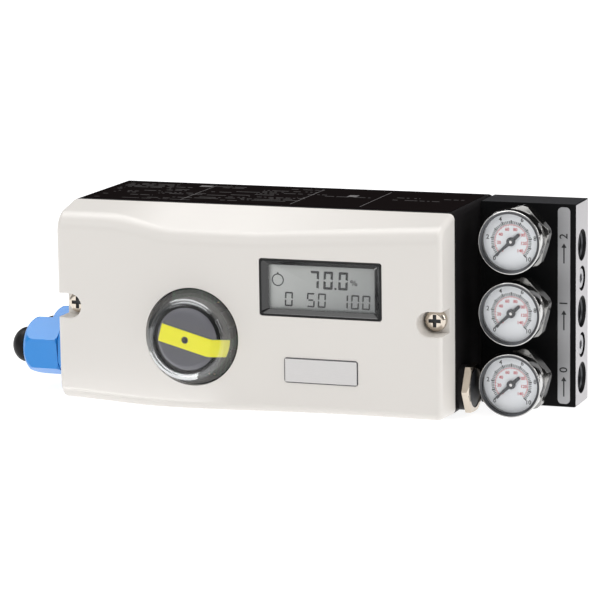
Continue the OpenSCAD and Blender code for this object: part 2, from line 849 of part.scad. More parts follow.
// Pressure gauges
module gauge_at(i) {
    translate([gauge_x, 0, gauges_z[i]]) children();
}
module gauge_socket(i) {
    r = hex_r(gauge_hex);
    heel = -y_hex;
    face = -y_case;
    y_arm = y_case - spigot_l;
    color("#b9babd") gauge_at(i) difference() {
        union() {
            intersection() {
                rotate([0, gauge_turn[i], 0]) slab(y_case, y_hex) circle(r, $fn = 6);
                spun([[0, heel], [r - 2 * socket_edge, heel], [r - socket_edge / 2, heel + socket_edge],
                      [r - socket_edge / 2, face - socket_edge], [r - 2 * socket_edge, face], [0, face]]);
            }
            rod(gauge_neck_d, y_hex - nib, y_block);
            rod(stem_dia, y_block - nib, y_block + stem_deep);
            rod(2 * spigot_r, y_arm, y_case + nib);
            slab(y_arm, y_arm + arm_l) translate([0, -arm_w / 2]) square([tube_r + tube_d / 2, arm_w]);
        }
        rod(pin_d + 2 * run_gap, y_arm - nib, y_case - nib);
    }
}
module pressure_tubes() {
    start = asin((arm_w / 2 + run_gap) / (tube_r - tube_d / 2)) + 1;
    y_tube = y_case - spigot_l + arm_l / 2;
    color("#b58a3c") for (i = [0:len(gauges_z) - 1]) gauge_at(i) translate([0, y_tube, 0])
        rotate([90, 0, 0]) rotate([0, 0, start]) rotate_extrude(angle = tube_sweep)
            translate([tube_r, 0]) circle(d = tube_d, $fn = 24);
}
module gauge_case(i) {
    rim_r = gauge_d / 2;
    body_r = rim_r - bezel_lip;
    bore_r = min(body_r - case_wall, dial_r - dial_seat);
    hole_r = spigot_r + seat_gap;
    lip_r = dial_r - lip_over;
    groove_r = dial_r + crystal_over + run_gap;
    front = -y_gauge;
    back = -y_case;
    groove_front = front - crystal_back + crystal_t + seat_gap / 2;
    groove_back = front - crystal_back;
    shelf = front - dial_back - dial_t;
    color("#c4c5c8") gauge_at(i) spun(concat(
        [[hole_r, back], [body_r - case_edge, back], [body_r, back + case_edge],
         [body_r, front - bezel_l], [rim_r, front - bezel_l + bezel_lip]],
        arc(rim_r - bezel_roll, front - bezel_roll, bezel_roll, 0, 90, round_steps),
        [[lip_r, front], [lip_r, groove_front], [groove_r, groove_front], [groove_r, groove_back],
         [dial_r + seat_gap, groove_back], [dial_r + seat_gap, shelf],
         [bore_r, shelf], [bore_r, back + case_wall], [hole_r, back + case_wall]]));
}
module gauge_dial(i) {
    color("#f4f3ef") gauge_at(i) tube(2 * dial_r, pin_d + 2 * run_gap, y_dial, y_dial + dial_t);
}
module gauge_crystal(i) {
    color("#dfe9ee", 0.3) gauge_at(i) rod(2 * (dial_r + crystal_over), y_crystal - crystal_t, y_crystal);
}
module gauge_needle(i) {
    y_hub = y_dial - pass_gap;
    color("#34363a") gauge_at(i) union() {
        rod(2 * hub_r, y_hub - hub_t, y_hub);
        rod(pin_d, y_hub - hub_t / 2, y_case - spigot_l + arm_l);
        rotate([0, -needle_zero, 0]) slab(y_hub - needle_t, y_hub)
            polygon([[-needle_tail, needle_tail_w], [-needle_tail, -needle_tail_w], [0, -needle_w],
                     [needle_len, -needle_tip_w], [needle_len, needle_tip_w], [0, needle_w]]);
    }
}

// Cover body
module pocket_outline(x, r) {
    side = x < x_mid ? -1 : 1;
    translate([x, screw_up]) {
        circle(r);
        translate([side < 0 ? -2 * screw_from_end : 0, -r]) square([2 * screw_from_end, 2 * r]);
    }
}
module front_cover() {
    frame_gap = 2 * seat_gap;
    pane_gap = 2 * (pane_rim + seat_gap);
    color("#e4e1dc") difference() {
        union() {
            difference() {
                cover_loft(0, y_seat);
                cover_loft(cover_wall, y_seat + nib);
            }
            for (x = screw_xs) slab(y_front + cover_wall / 2, y_seat) intersection() {
                pocket_outline(x, pocket_r + cover_wall);
                outline(cover_wall / 2, nib);
            }
        }
        for (x = screw_xs) slab(y_front - nib, y_pocket) pocket_outline(x, pocket_r);
        screw_places() rod(screw_d + 2 * pass_gap, y_front, y_seat + nib);
        rod(window_d + 2 * seat_gap, y_front - nib, y_seat);
        slab(y_front - nib, y_seat)
            box_at(display_x, display_z, display_w + frame_gap, display_h + frame_gap);
        slab(y_pane, y_seat) box_at(display_x, display_z, display_w + pane_gap, display_h + pane_gap);
        slab(y_front - nib, y_front + plate_sunk)
            box_at(display_x, -plate_down, plate_w + 2 * seat_gap, plate_h + 2 * seat_gap);
    }
}
module cover_screws() {
    r = screw_head_d / 2;
    seat = -y_pocket;
    swell = screw_head_h - screw_head_edge;
    y_head = y_pocket - screw_head_h;
    color("#c8c6c0") screw_places() difference() {
        union() {
            spun(concat([[0, seat], [r, seat], [r, seat + screw_head_edge]],
                [for (k = [1:round_steps]) let (a = 90 * k / round_steps)
                    [r - screw_head_roll * (1 - cos(a)), seat + screw_head_edge + swell * sin(a)]],
                [[0, seat + screw_head_h]]));
            rod(screw_d, y_pocket - nib, y_rim + screw_grip);
        }
        slab(y_head - nib, y_head + cross_deep) {
            box_at(0, 0, cross_reach, cross_w);
            box_at(0, 0, cross_w, cross_reach);
        }
    }
}
module indicator_window() {
    base_r = window_d / 2;
    front_r = window_front_d / 2;
    flange_r = base_r + flange_out;
    bore_r = base_r - window_wall;
    front = -y_window;
    back = -y_flange;
    inside = front - window_wall;
    color("#e6eef0", 0.3) spun(concat(
        [[bore_r, back - flange_t], [flange_r, back - flange_t], [flange_r, back],
         [base_r, back], [base_r, -y_front]],
        rolled(front_r, front, window_roll, window_lean, 0),
        [[0, front], [0, inside]],
        reversed(rolled(front_r, front, window_roll, window_lean, -window_wall)),
        [[bore_r, -y_front]]));
}
module window_seal() {
    color("#1b1b1b")
        tube(window_d + 2 * flange_out, window_d + 2 * seat_gap, y_front + cover_wall, y_flange);
}
module display_frame() {
    spread = (display_w - view_w) / 2 - frame_rim;
    grow = spread * frame_over / frame_t;
    mouth = [display_w / 2 - frame_rim + grow, display_h / 2 - frame_rim + grow];
    throat = [view_w / 2 - grow, view_h / 2 - grow];
    corners = [[-1, -1], [1, -1], [1, 1], [-1, 1]];
    color("#3a3b40") difference() {
        slab(y_front, y_pane) box_at(display_x, display_z, display_w, display_h);
        translate([display_x, 0, display_z]) polyhedron(
            points = concat([for (c = corners) [c[0] * mouth[0], y_front - frame_over, c[1] * mouth[1]]],
                            [for (c = corners) [c[0] * throat[0], y_pane + frame_over, c[1] * throat[1]]]),
            faces = concat([[3, 2, 1, 0], [4, 5, 6, 7]],
                           [for (i = [0:3]) let (k = (i + 1) % 4) [i, k, k + 4, i + 4]]));
    }
}
module display_pane() {
    color("#dfe6e6", 0.3) slab(y_pane, y_pane + pane_t)
        box_at(display_x, display_z, display_w + 2 * pane_rim, display_h + 2 * pane_rim);
}
module name_plate() {
    x0 = display_x - plate_w / 2;
    z0 = -plate_down - plate_h / 2;
    color("#c7c8ca") slab(y_front + plate_sunk - plate_t, y_front + plate_sunk)
        rounded(x0, z0, x0 + plate_w, z0 + plate_h, plate_corner);
}

// Turning body: shaft and indicator
module feedback_shaft() {
    color("#a9abaf") difference() {
        union() {
            rod(shaft_d, 0, lever_seat);
            rod(tip_d, lever_seat - nib, shaft_out);
            rod(journal_d, y_collar, journal_out);
            rod(collar_d, y_collar - collar_t, y_collar);
            rod(spindle_d, y_cup + cup_t + cup_hub_l - spindle_in, y_collar);
        }
        translate([tip_d / 2 - flat_depth, lever_seat, -tip_d])
            cube([tip_d, shaft_out - lever_seat + nib, 2 * tip_d]);
        rod(cup_screw_d + 2 * seat_gap, y_cup, y_cup + cup_t + cup_screw_l + nib);
    }
}
module sensor_rotor() {
    y0 = y_collar - collar_t - pass_gap;
    color("#7d5a3a") difference() {
        union() {
            rod(2 * rotor_r, y0 - rotor_t, y0);
            rod(2 * rotor_hub_r, y0 - rotor_hub_l, y0);
        }
        rod(spindle_d + 2 * seat_gap, y0 - rotor_hub_l - nib, y0 + nib);
    }
}
// Outline of the cup grown by a skin, from a depth below its face up to its axis
function cup_outline(skin, deep) = concat(
    [[cup_d / 2 + deep * tan(cup_lean) + skin / cos(cup_lean), -y_cup - deep]],
    rolled(cup_d / 2, -y_cup, cup_roll, cup_lean, skin), [[0, -y_cup + skin]]);
module indicator_cup() {
    hub_r = cup_hub_d / 2;
    inside = -y_cup - cup_t;
    hub_end = inside - cup_hub_l;
    y_hub = y_cup + cup_t + cup_hub_l;
    side = cup_t / cos(cup_lean);
    color("#7f8085") difference() {
        spun(concat([[0, hub_end], [hub_r, hub_end], [hub_r, inside],
                     [cup_d / 2 + cup_t * tan(cup_lean) - side, inside],
                     [cup_foot_d / 2 - side, -y_cup - cup_skirt]],
            cup_outline(0, cup_skirt)));
        rod(spindle_d + 2 * seat_gap, y_hub - spindle_in - seat_gap, y_hub + nib);
        rod(cup_screw_d + 2 * seat_gap, y_cup - nib, y_hub);
        rod(cup_screw_head_d + 2 * seat_gap, y_cup - nib, y_cup + cup_screw_head_h);
    }
}
module indicator_stripe() {
    inner = cup_outline(stripe_glue, stripe_side);
    outer = cup_outline(stripe_glue + stripe_t, stripe_side);
    color("#e2e032") rotate([0, stripe_tilt, 0]) difference() {
        intersection() {
            spun(concat(inner, reversed(outer)));
            slab(y_cup - 2 * nib, y_cup + cup_skirt)
                translate([stripe_inset - cup_d / 2, -stripe_w / 2]) square([cup_d + cup_foot_d, stripe_w]);
        }
        rod(cup_screw_head_d + 2 * seat_gap, y_cup - 2 * nib, y_cup + 2 * nib);
    }
}
module indicator_screw() {
    color("#b9b8b2") union() {
        rod(cup_screw_head_d, y_cup, y_cup + cup_screw_head_h);
        rod(cup_screw_d, y_cup + cup_screw_head_h / 2, y_cup + cup_t + cup_screw_l);
    }
}

housing();
cover_gasket();
top_label();
shaft_bush();
shaft_seal();
sensor_housing();
main_board();
board_screws();
display_holder();
display_glass();
button_switches();
terminal_block();
terminal_screws();
pneumatic_module();
manifold();
gland_seals();
gland_body(glands_y[0]);  // gland_body_front
gland_nut(glands_y[0]);  // gland_nut_front
gland_plug(glands_y[0]);  // gland_plug_front
gland_body(glands_y[1]);  // gland_body_rear
gland_nut(glands_y[1]);  // gland_nut_rear
gland_plug(glands_y[1]);  // gland_plug_rear
vent_body();
vent_filter();
gauge_block();
port_strip();
block_screws();
block_rings();
pressure_tubes();
for (i = [1:3]) {
    gauge_socket(i - 1);
    gauge_case(i - 1);
    gauge_dial(i - 1);
    gauge_crystal(i - 1);
    gauge_needle(i - 1);
}
front_cover();
cover_screws();
indicator_window();
window_seal();
display_frame();
display_pane();
name_plate();
feedback_shaft();
sensor_rotor();
indicator_cup();
indicator_stripe();
indicator_screw();
for (i = [0:len(buttons) - 1]) push_button(i);
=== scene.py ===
import json
import math

import bmesh
import bpy
from mathutils import Matrix, Vector

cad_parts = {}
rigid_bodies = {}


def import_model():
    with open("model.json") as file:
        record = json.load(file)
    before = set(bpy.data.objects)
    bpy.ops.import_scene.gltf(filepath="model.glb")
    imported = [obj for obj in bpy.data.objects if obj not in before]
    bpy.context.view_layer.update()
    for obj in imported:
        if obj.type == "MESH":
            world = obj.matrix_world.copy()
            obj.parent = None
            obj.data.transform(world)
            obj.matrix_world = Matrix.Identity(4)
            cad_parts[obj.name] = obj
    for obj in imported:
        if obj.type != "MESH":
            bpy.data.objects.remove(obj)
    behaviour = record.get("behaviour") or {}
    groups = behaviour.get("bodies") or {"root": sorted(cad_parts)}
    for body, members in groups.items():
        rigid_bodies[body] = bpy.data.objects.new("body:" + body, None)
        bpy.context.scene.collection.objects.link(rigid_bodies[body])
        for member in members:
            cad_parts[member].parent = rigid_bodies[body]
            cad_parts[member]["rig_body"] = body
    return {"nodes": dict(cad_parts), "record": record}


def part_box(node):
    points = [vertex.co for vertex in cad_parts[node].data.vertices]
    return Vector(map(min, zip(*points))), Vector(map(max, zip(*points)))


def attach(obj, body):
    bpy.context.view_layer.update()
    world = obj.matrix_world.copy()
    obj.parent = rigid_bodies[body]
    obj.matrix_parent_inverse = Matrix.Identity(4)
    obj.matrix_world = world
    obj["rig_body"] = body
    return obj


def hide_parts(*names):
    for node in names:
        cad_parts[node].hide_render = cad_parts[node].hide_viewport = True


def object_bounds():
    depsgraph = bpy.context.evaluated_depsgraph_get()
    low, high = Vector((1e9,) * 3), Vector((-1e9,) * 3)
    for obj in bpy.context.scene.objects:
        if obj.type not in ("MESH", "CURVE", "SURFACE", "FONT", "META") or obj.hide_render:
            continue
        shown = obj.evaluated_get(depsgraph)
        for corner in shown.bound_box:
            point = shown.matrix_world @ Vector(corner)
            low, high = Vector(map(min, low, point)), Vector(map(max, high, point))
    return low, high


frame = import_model()
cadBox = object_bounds()
scene = bpy.context.scene
perMm = 0.001  # shapes below are in millimetres, the frame is in metres
bodyOf = {name: node["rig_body"] for name, node in frame["nodes"].items()}
slotOf = {part["node"]: part["material_slot"] for part in frame["record"]["subparts"]}
print("frame", len(frame["nodes"]), "nodes")


def span(node):  # lowest and highest corner of a node, in millimetres
    low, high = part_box(node)
    return low / perMm, high / perMm


def middle(node):
    low, high = span(node)
    return (low + high) / 2


# Camera, at the photograph's angle
view = {"target": (35.9, -38.3, 11.0), "distance": 1427.4, "yaw": 20.05, "pitch": 10.22,
        "roll": -0.78, "lens": 190.5, "sensor": 36, "clipEnd": 50}


def addCamera(look):
    yaw, pitch, roll = (math.radians(look[key]) for key in ("yaw", "pitch", "roll"))
    back = Vector((math.sin(yaw) * math.cos(pitch), -math.cos(yaw) * math.cos(pitch), math.sin(pitch)))
    side = (-back).cross(Vector((0, 0, 1))).normalized()
    top = side.cross(-back)
    right = side * math.cos(roll) + top * math.sin(roll)
    up = top * math.cos(roll) - side * math.sin(roll)
    data = bpy.data.cameras.new("photoCamera")
    data.lens = look["lens"]
    data.sensor_width = look["sensor"]
    data.clip_end = look["clipEnd"]
    camera = bpy.data.objects.new("photoCamera", data)
    scene.collection.objects.link(camera)
    place = (Vector(look["target"]) + back * look["distance"]) * perMm
    turn = Matrix((right, up, back)).transposed().to_4x4()
    camera.matrix_world = Matrix.Translation(place) @ turn
    scene.camera = camera


addCamera(view)


# Shader maths: a wire is a socket that takes part in Python expressions
def feed(tree, socket, value):
    if isinstance(value, Wire):
        tree.links.new(value.socket, socket)
    elif socket.type == "RGBA" and len(value) == 3:
        socket.default_value = (*value, 1)
    else:
        socket.default_value = value


def worked(operation, reflected=False):  # a method that adds one maths node
    def apply(self, *others):
        values = (*others, self) if reflected else (self, *others)
        return self.maths(operation, *values)
    return apply


class Wire:
    def __init__(self, tree, socket):
        self.tree = tree
        self.socket = socket

    def maths(self, operation, *values):
        made = self.tree.nodes.new("ShaderNodeMath")
        made.operation = operation
        for socket, value in zip(made.inputs, values):
            feed(self.tree, socket, value)
        return Wire(self.tree, made.outputs[0])

    __add__ = __radd__ = worked("ADD")
    __sub__ = worked("SUBTRACT")
    __rsub__ = worked("SUBTRACT", True)
    __mul__ = __rmul__ = worked("MULTIPLY")
    __truediv__ = worked("DIVIDE")
    __rtruediv__ = worked("DIVIDE", True)
    __mod__ = worked("FLOORED_MODULO")
    __pow__ = worked("POWER")
    __gt__ = worked("GREATER_THAN")
    __lt__ = worked("LESS_THAN")
    __abs__ = worked("ABSOLUTE")
    floor = worked("FLOOR")
    least = worked("MINIMUM")
    most = worked("MAXIMUM")

    def within(self, low, high):  # 1 between the two, 0 outside
        return (self > low) * (self < high)


finishes = {}


class Finish:
    def __init__(self, name):
        self.material = bpy.data.materials.new(name)
        self.material.use_nodes = True
        self.tree = self.material.node_tree
        self.shader = self.tree.nodes["Principled BSDF"]
        self.spot = None
        finishes[name] = self.material

    def node(self, kind, settings, sockets, out=0):
        made = self.tree.nodes.new("ShaderNode" + kind)
        for key, value in settings.items():
            setattr(made, key, value)
        for key, value in sockets.items():
            feed(self.tree, made.inputs[key], value)
        return Wire(self.tree, made.outputs[out])

    def set(self, sockets):
        for key, value in sockets.items():
            feed(self.tree, self.shader.inputs[key], value)

    def place(self):  # where a point lies on the part, in millimetres
        if self.spot is None:
            here = self.node("TexCoord", {}, {}, "Object")
            self.spot = self.node("VectorMath", {"operation": "SCALE"}, {"Vector": here, "Scale": 1 / perMm})
        return self.spot

    def axis(self, letter):
        return self.node("SeparateXYZ", {}, {"Vector": self.place()}, letter)

    def normal(self, letter, kind="Normal"):
        return self.node("SeparateXYZ", {}, {"Vector": self.node("NewGeometry", {}, {}, kind)}, letter)

    def noise(self, size, detail=2.0, stretch=(1, 1, 1)):  # size of a patch, in millimetres
        share = tuple(1 / (size * s) for s in stretch)
        where = self.node("VectorMath", {"operation": "MULTIPLY"}, {0: self.place(), 1: share})
        return self.node("TexNoise", {}, {"Vector": where, "Scale": 1.0, "Detail": detail})

    def mix(self, share, first, second):
        return self.node("Mix", {"data_type": "RGBA"}, {0: share, 6: first, 7: second}, 2)

    def shade(self, share, colour, tone):  # from a darker tone of a colour to the colour itself
        return self.mix(share, tuple(c * tone for c in colour), colour)

    def bump(self, height, depth):  # depth of the relief, in millimetres
        sockets = {"Height": height, "Strength": 1.0, "Distance": depth * perMm}
        self.set({"Normal": self.node("Bump", {}, sockets)})


def tint(red, green, blue):  # a colour as a screen shows it, 0 to 255
    return tuple((c / 255 / 12.92) if c < 11 else ((c / 255 + 0.055) / 1.055) ** 2.4
                 for c in (red, green, blue))


# Plain finishes: colour, darkest tone, patch, roughness and its spread, grain, relief, other sockets
metal, matt = {"Metallic": 1.0}, {"Specular IOR Level": 0.15}
looks = {
    "casting_black": (tint(25, 23, 24), 0.75, 30, 0.46, 0.16, 0.55, 0.03, matt),
    "cover_white": (tint(224, 220, 215), 0.97, 60, 0.36, 0.08, 0.9, 0.006,
                    {"Coat Weight": 0.04, "Coat Roughness": 0.3, "Specular IOR Level": 0.42}),
    "rubber_black": (tint(24, 23, 24), 0.8, 6, 0.42, 0.12, 0.35, 0.01, matt),
    "bronze": (tint(186, 138, 74), 0.8, 8, 0.34, 0.15, 0.3, 0.006, metal),
    "steel": (tint(172, 168, 160), 0.8, 5, 0.3, 0.15, 0.25, 0.006, metal),
    "chrome": (tint(206, 205, 204), 0.9, 9, 0.12, 0.08, 0.4, 0.003, metal),
    "nickel": (tint(222, 211, 197), 0.85, 6, 0.16, 0.12, 0.3, 0.004, metal),
    "aluminium_bare": (tint(190, 190, 193), 0.85, 9, 0.42, 0.14, 0.2, 0.008, metal),
    "plastic_dark": (tint(40, 41, 45), 0.85, 14, 0.4, 0.1, 0.3, 0.006, {}),
    "plastic_grey": (tint(98, 98, 104), 0.93, 10, 0.45, 0.1, 0.3, 0.005, {}),
    "plastic_light": (tint(214, 213, 208), 0.95, 5, 0.4, 0.1, 0.3, 0.005, {}),
    "plastic_blue": (tint(34, 140, 224), 0.9, 14, 0.3, 0.1, 0.45, 0.008,
                     {"Coat Weight": 0.1, "Coat Roughness": 0.2}),
    "terminal_green": (tint(52, 140, 84), 0.9, 8, 0.42, 0.1, 0.3, 0.006, {}),
    "stripe_yellow": (tint(242, 237, 40), 0.93, 6, 0.5, 0.08, 0.3, 0.004, {}),
    "socket_grey": (tint(160, 159, 157), 0.85, 7, 0.16, 0.1, 0.3, 0.003, metal),
    "segment_black": (tint(12, 12, 13), 0.85, 2, 0.5, 0.08, 0.15, 0.001, {}),
    "ring_dark": (tint(84, 85, 88), 0.8, 4, 0.3, 0.12, 0.3, 0.003, {"Metallic": 0.7}),
    "needle_dark": (tint(56, 58, 62), 0.85, 2, 0.5, 0.1, 0.15, 0.002, {}),
    "scale_red": (tint(196, 52, 62), 0.9, 2, 0.55, 0.08, 0.15, 0.001, {}),
    "scale_black": (tint(34, 34, 36), 0.85, 2, 0.55, 0.08, 0.15, 0.001, {}),
}
grainStretch = {"aluminium_bare": (1, 1, 14)}  # brushed along z
grainShare = 0.6  # of the roughness, the rest comes from the patches


def plainFinish(name, colour, tone, patch, rough, spread, grain, relief, sockets):
    finish = Finish(name)
    cloud = finish.noise(patch, 3.0)
    speck = finish.noise(grain, 2.0, grainStretch.get(name, (1, 1, 1)))
    uneven = speck * grainShare + cloud * (1 - grainShare) - 0.5
    finish.set({"Base Color": finish.shade(cloud, colour, tone),
                "Roughness": rough + uneven * spread, **sockets})
    finish.bump(speck, relief)


for slotName, row in looks.items():
    plainFinish(slotName, *row)


# Printed film on top of the housing: thin dividers, two plain tags and faint rows of plain dashes
film = {"ink": tint(112, 110, 110), "faint": tint(76, 74, 74), "ground": tint(23, 19, 19),
        "tone": 0.8, "patch": 25, "rough": 0.5, "spread": 0.12, "smudge": 7, "grain": 0.5, "relief": 0.004,
        "margin": 4, "dividers": (-15.5, 37, 69.5), "lineWidth": 0.35, "rowPitch": 3.3, "rowShare": 0.38,
        "dash": 1.15, "dashGaps": 0.3, "group": 11, "groupStart": 40, "groupGaps": 0.5,
        "quietFrom": 38, "quietRows": (17, 27),  # past this x, rows stay in a band behind the back edge
        "tags": ((-22.5, -16.5, 5, 9), (54, 58.5, 17, 22))}  # left, right, and the same band for each


def filmFinish(look):
    finish = Finish("label_film")
    across, deep = finish.axis("X"), finish.axis("Y")
    low, high = span("top_label")
    fromBack = high.y - deep
    margin = look["margin"]
    inside = deep.within(low.y + margin, high.y - margin) * across.within(low.x + margin, high.x - margin)
    line = 0
    for x in look["dividers"]:
        line = line + (abs(across - x) < look["lineWidth"] / 2)
    for left, right, near, far in look["tags"]:
        line = line + across.within(left, right) * fromBack.within(near, far)
    row = deep / look["rowPitch"]
    rowNumber = row.floor()

    def chance(length, start):  # one random value for each stretch of a row
        cell = finish.node("CombineXYZ", {}, {"X": (across / length).floor() + start, "Y": rowNumber})
        return finish.node("TexWhiteNoise", {"noise_dimensions": "2D"}, {"Vector": cell})

    dash = chance(look["dash"], 0) > look["dashGaps"]
    group = chance(look["group"], look["groupStart"]) > look["groupGaps"]
    kept = ((across < look["quietFrom"]) + fromBack.within(*look["quietRows"])).least(1.0)
    dashes = (row % 1.0 < look["rowShare"]) * dash * group * inside * kept
    ground = finish.shade(finish.noise(look["patch"], 3.0), look["ground"], look["tone"])
    ink = finish.mix(dashes, ground, look["faint"])
    colour = finish.mix((line * inside).least(1.0), ink, look["ink"])
    finish.set({"Base Color": colour, "Specular IOR Level": 0.0,
                "Roughness": look["rough"] + finish.noise(look["smudge"], 3.0) * look["spread"]})
    finish.bump(finish.noise(look["grain"]), look["relief"])


filmFinish(film)


# Gauge block: black anodised, with a painted reflection that makes its top faces paler, and its machined port
# face left bare
block = {"black": tint(20, 20, 21), "blackTone": 0.75, "patch": 16, "top": tint(50, 50, 52),
         "bare": tint(206, 204, 206), "bareTone": 0.8, "metal": 0.85, "flat": 0.9, "skin": 0.3,
         "streak": 0.25, "stretch": (1, 1, 22), "rough": 0.36, "spread": 0.14, "bareRough": 0.08,
         "relief": 0.006}


def blockFinish(look):
    finish = Finish("aluminium_black")
    facing, paintedReflectionOnTop = (finish.normal(axis, "True Normal") > look["flat"] for axis in "XZ")
    bare = facing * (finish.axis("X") > span("gauge_block")[1].x - look["skin"])
    streaks = finish.noise(look["streak"], 3.0, look["stretch"])
    black = finish.shade(finish.noise(look["patch"], 3.0), look["black"], look["blackTone"])
    # painted reflection: faces that look upward take the paler colour "top"
    black = finish.mix(paintedReflectionOnTop, black, look["top"])
    silver = finish.shade(streaks, look["bare"], look["bareTone"])
    finish.set({"Base Color": finish.mix(bare, black, silver), "Metallic": bare * look["metal"],
                "Roughness": look["rough"] + streaks * look["spread"] + bare * look["bareRough"],
                "Specular IOR Level": 0.07})
    finish.bump(streaks, look["relief"])


blockFinish(block)


# Brushed plates: the port strip, and the brighter name plate with a dark line painted round its edge as shade
brushing = {"grain": 0.18, "stretch": (24, 1, 1), "spread": 0.14, "relief": 0.003}
strip = {"colour": tint(192, 192, 194), "tone": 0.82, "patch": 18, "brushShare": 0.6, "metal": 0.55,
         "rough": 0.4}
badge = {"colour": tint(216, 214, 213), "tone": 0.86, "line": tint(92, 92, 94), "width": 0.45, "metal": 0.4,
         "rough": 0.36}


def stripColour(finish, brushed, look):
    cloud = finish.noise(look["patch"], 2.0)
    share = brushed * look["brushShare"] + cloud * (1 - look["brushShare"])
    return finish.shade(share, look["colour"], look["tone"])


def badgeColour(finish, brushed, look):
    low, high = span("name_plate")
    width = look["width"]
    # painted shade: a dark band round the plate's edge stands in for the shade in the gap around it
    clearOfShadeLine = finish.axis("X").within(low.x + width, high.x - width)
    clearOfShadeLine = clearOfShadeLine * finish.axis("Z").within(low.z + width, high.z - width)
    return finish.mix(clearOfShadeLine, look["line"], finish.shade(brushed, look["colour"], look["tone"]))


def brushedFinish(name, look, colouring):
    finish = Finish(name)
    brushed = finish.noise(brushing["grain"], 3.0, brushing["stretch"])
    finish.set({"Base Color": colouring(finish, brushed, look), "Metallic": look["metal"],
                "Roughness": look["rough"] + brushed * brushing["spread"]})
    finish.bump(brushed, brushing["relief"])


brushedFinish("plate_silver", strip, stripColour)
brushedFinish("badge_silver", badge, badgeColour)


# Circuit board: green mask with faint tracks and pads
board = {"mask": tint(24, 84, 52), "track": tint(46, 118, 74), "pad": tint(196, 178, 120), "pitch": 2.54,
         "bendPatch": 22, "bend": 9, "lane": (0.32, 0.62), "trackPatch": 12, "trackStretch": (1, 1, 1.8),
         "trackGaps": 0.47, "padRadius": 0.2, "padPatch": 14, "padGaps": 0.58, "padMetal": 0.8,
         "padGloss": 0.12, "rough": 0.42, "smudge": 5, "spread": 0.1, "relief": 0.03}


def boardFinish(look):
    finish = Finish("board_green")
    pitch = look["pitch"]
    across, upright = finish.axis("X"), finish.axis("Z")
    bend = finish.noise(look["bendPatch"], 0.0) * look["bend"]
    lanes = ((across + bend) / pitch) % 1.0
    laid = finish.noise(look["trackPatch"], 1.0, look["trackStretch"]) > look["trackGaps"]
    track = lanes.within(*look["lane"]) * laid
    column, line = ((way / pitch) % 1.0 - 0.5 for way in (across, upright))
    spot = column * column + line * line < look["padRadius"] ** 2
    pad = spot * (finish.noise(look["padPatch"], 1.0) > look["padGaps"])
    green = finish.mix(track, look["mask"], look["track"])
    smudge = finish.noise(look["smudge"])
    finish.set({"Base Color": finish.mix(pad, green, look["pad"]), "Metallic": pad * look["padMetal"],
                "Roughness": look["rough"] - pad * look["padGloss"] + smudge * look["spread"]})
    finish.bump(track + pad, look["relief"])


boardFinish(board)


# Display: a grey panel with painted light that makes it lighter at its upper left, with a fine mesh
panel = {"light": tint(192, 194, 191), "dark": tint(120, 123, 123), "slideShare": 0.55, "patch": 9,
         "patchShare": 0.2, "cell": 0.42, "gap": 0.1, "mesh": 0.12, "rough": 0.3, "grain": 0.6,
         "spread": 0.1, "relief": 0.002}


def displayFinish(look):
    finish = Finish("display_grey")
    low, high = span("display_glass")
    across, upright = finish.axis("X"), finish.axis("Z")
    slide, rise = (across - low.x) / (high.x - low.x), (upright - low.z) / (high.z - low.z)
    # painted light: the panel colour is ramped lighter towards its upper left
    paintedLightRamp = slide * look["slideShare"] + (1 - rise) * (1 - look["slideShare"])
    paintedLightRamp = paintedLightRamp + (finish.noise(look["patch"], 2.0) - 0.5) * look["patchShare"]
    columns, rows = ((way / look["cell"]) % 1.0 < look["gap"] for way in (across, upright))
    mesh = columns.most(rows)
    shade = finish.mix(paintedLightRamp, look["light"], look["dark"])
    finish.set({"Base Color": finish.mix(mesh * look["mesh"], shade, (0.0, 0.0, 0.0)),
                "Roughness": look["rough"] + finish.noise(look["grain"]) * look["spread"]})
    finish.bump(mesh, look["relief"])


displayFinish(panel)


# Display frame: a matt black rim round glossy slopes
frameLook = {"colour": tint(14, 14, 15), "tone": 0.8, "patch": 14, "slope": 0.14, "rim": 0.65,
             "flat": 0.96, "coat": 0.9, "grain": 0.3, "spread": 0.05, "relief": 0.002}


def frameFinish(look):
    finish = Finish("frame_dark")
    flat = finish.normal("Y") < -look["flat"]
    cloud, grain = finish.noise(look["patch"], 3.0), finish.noise(look["grain"])
    finish.set({"Base Color": finish.shade(cloud, look["colour"], look["tone"]),
                "Roughness": look["slope"] + flat * (look["rim"] - look["slope"]) + grain * look["spread"],
                "Coat Weight": (1 - flat) * look["coat"], "Coat Roughness": 0.1, "Specular IOR Level": 0.35})
    finish.bump(grain, look["relief"])


frameFinish(frameLook)


# Clear plastic: gloss grows towards grazing angles, the rest is see-through
glass = {"colour": (0.9, 0.92, 0.93), "tone": 0.9, "patch": 7, "rough": 0.03, "spread": 0.03, "smudge": 0.01,
         "most": 0.8, "wave": 9, "relief": 0.004}
panes = {"clear": {"blend": 0.5, "start": 0.1, "slope": 1.2, "power": 1.0, "cap": 0.16, "least": 0.005},
         "pane": {"blend": 0.25, "start": 0.0, "slope": 1.0, "power": 2.0, "cap": 1.0, "least": 0.02}}


def paneFinish(name, look):
    finish = Finish(name)
    smudge = finish.noise(look["patch"], 3.0)
    edge = finish.node("LayerWeight", {}, {"Blend": look["blend"]}, "Facing")
    gloss = (((edge - look["start"]) * look["slope"]).most(0.0) ** look["power"]).least(look["cap"])
    finish.set({"Base Color": finish.shade(smudge, look["colour"], look["tone"]), "Metallic": 1.0,
                "Roughness": look["rough"] + smudge * look["spread"],
                "Alpha": (look["least"] + gloss * look["most"] + smudge * look["smudge"]).least(1.0)})
    finish.bump(finish.noise(look["wave"], 1.0), look["relief"])


for paneName, paneLook in panes.items():
    paneFinish(paneName, {**glass, **paneLook})


# Indicator cup: a light face, with its cone side coloured near black as painted shade
cupLook = {"face": tint(105, 105, 111), "tone": 0.93, "patch": 10, "shadedFlank": tint(14, 14, 15), "edge": 14.0,
           "rough": 0.45, "grain": 0.3, "spread": 0.1, "relief": 0.005}


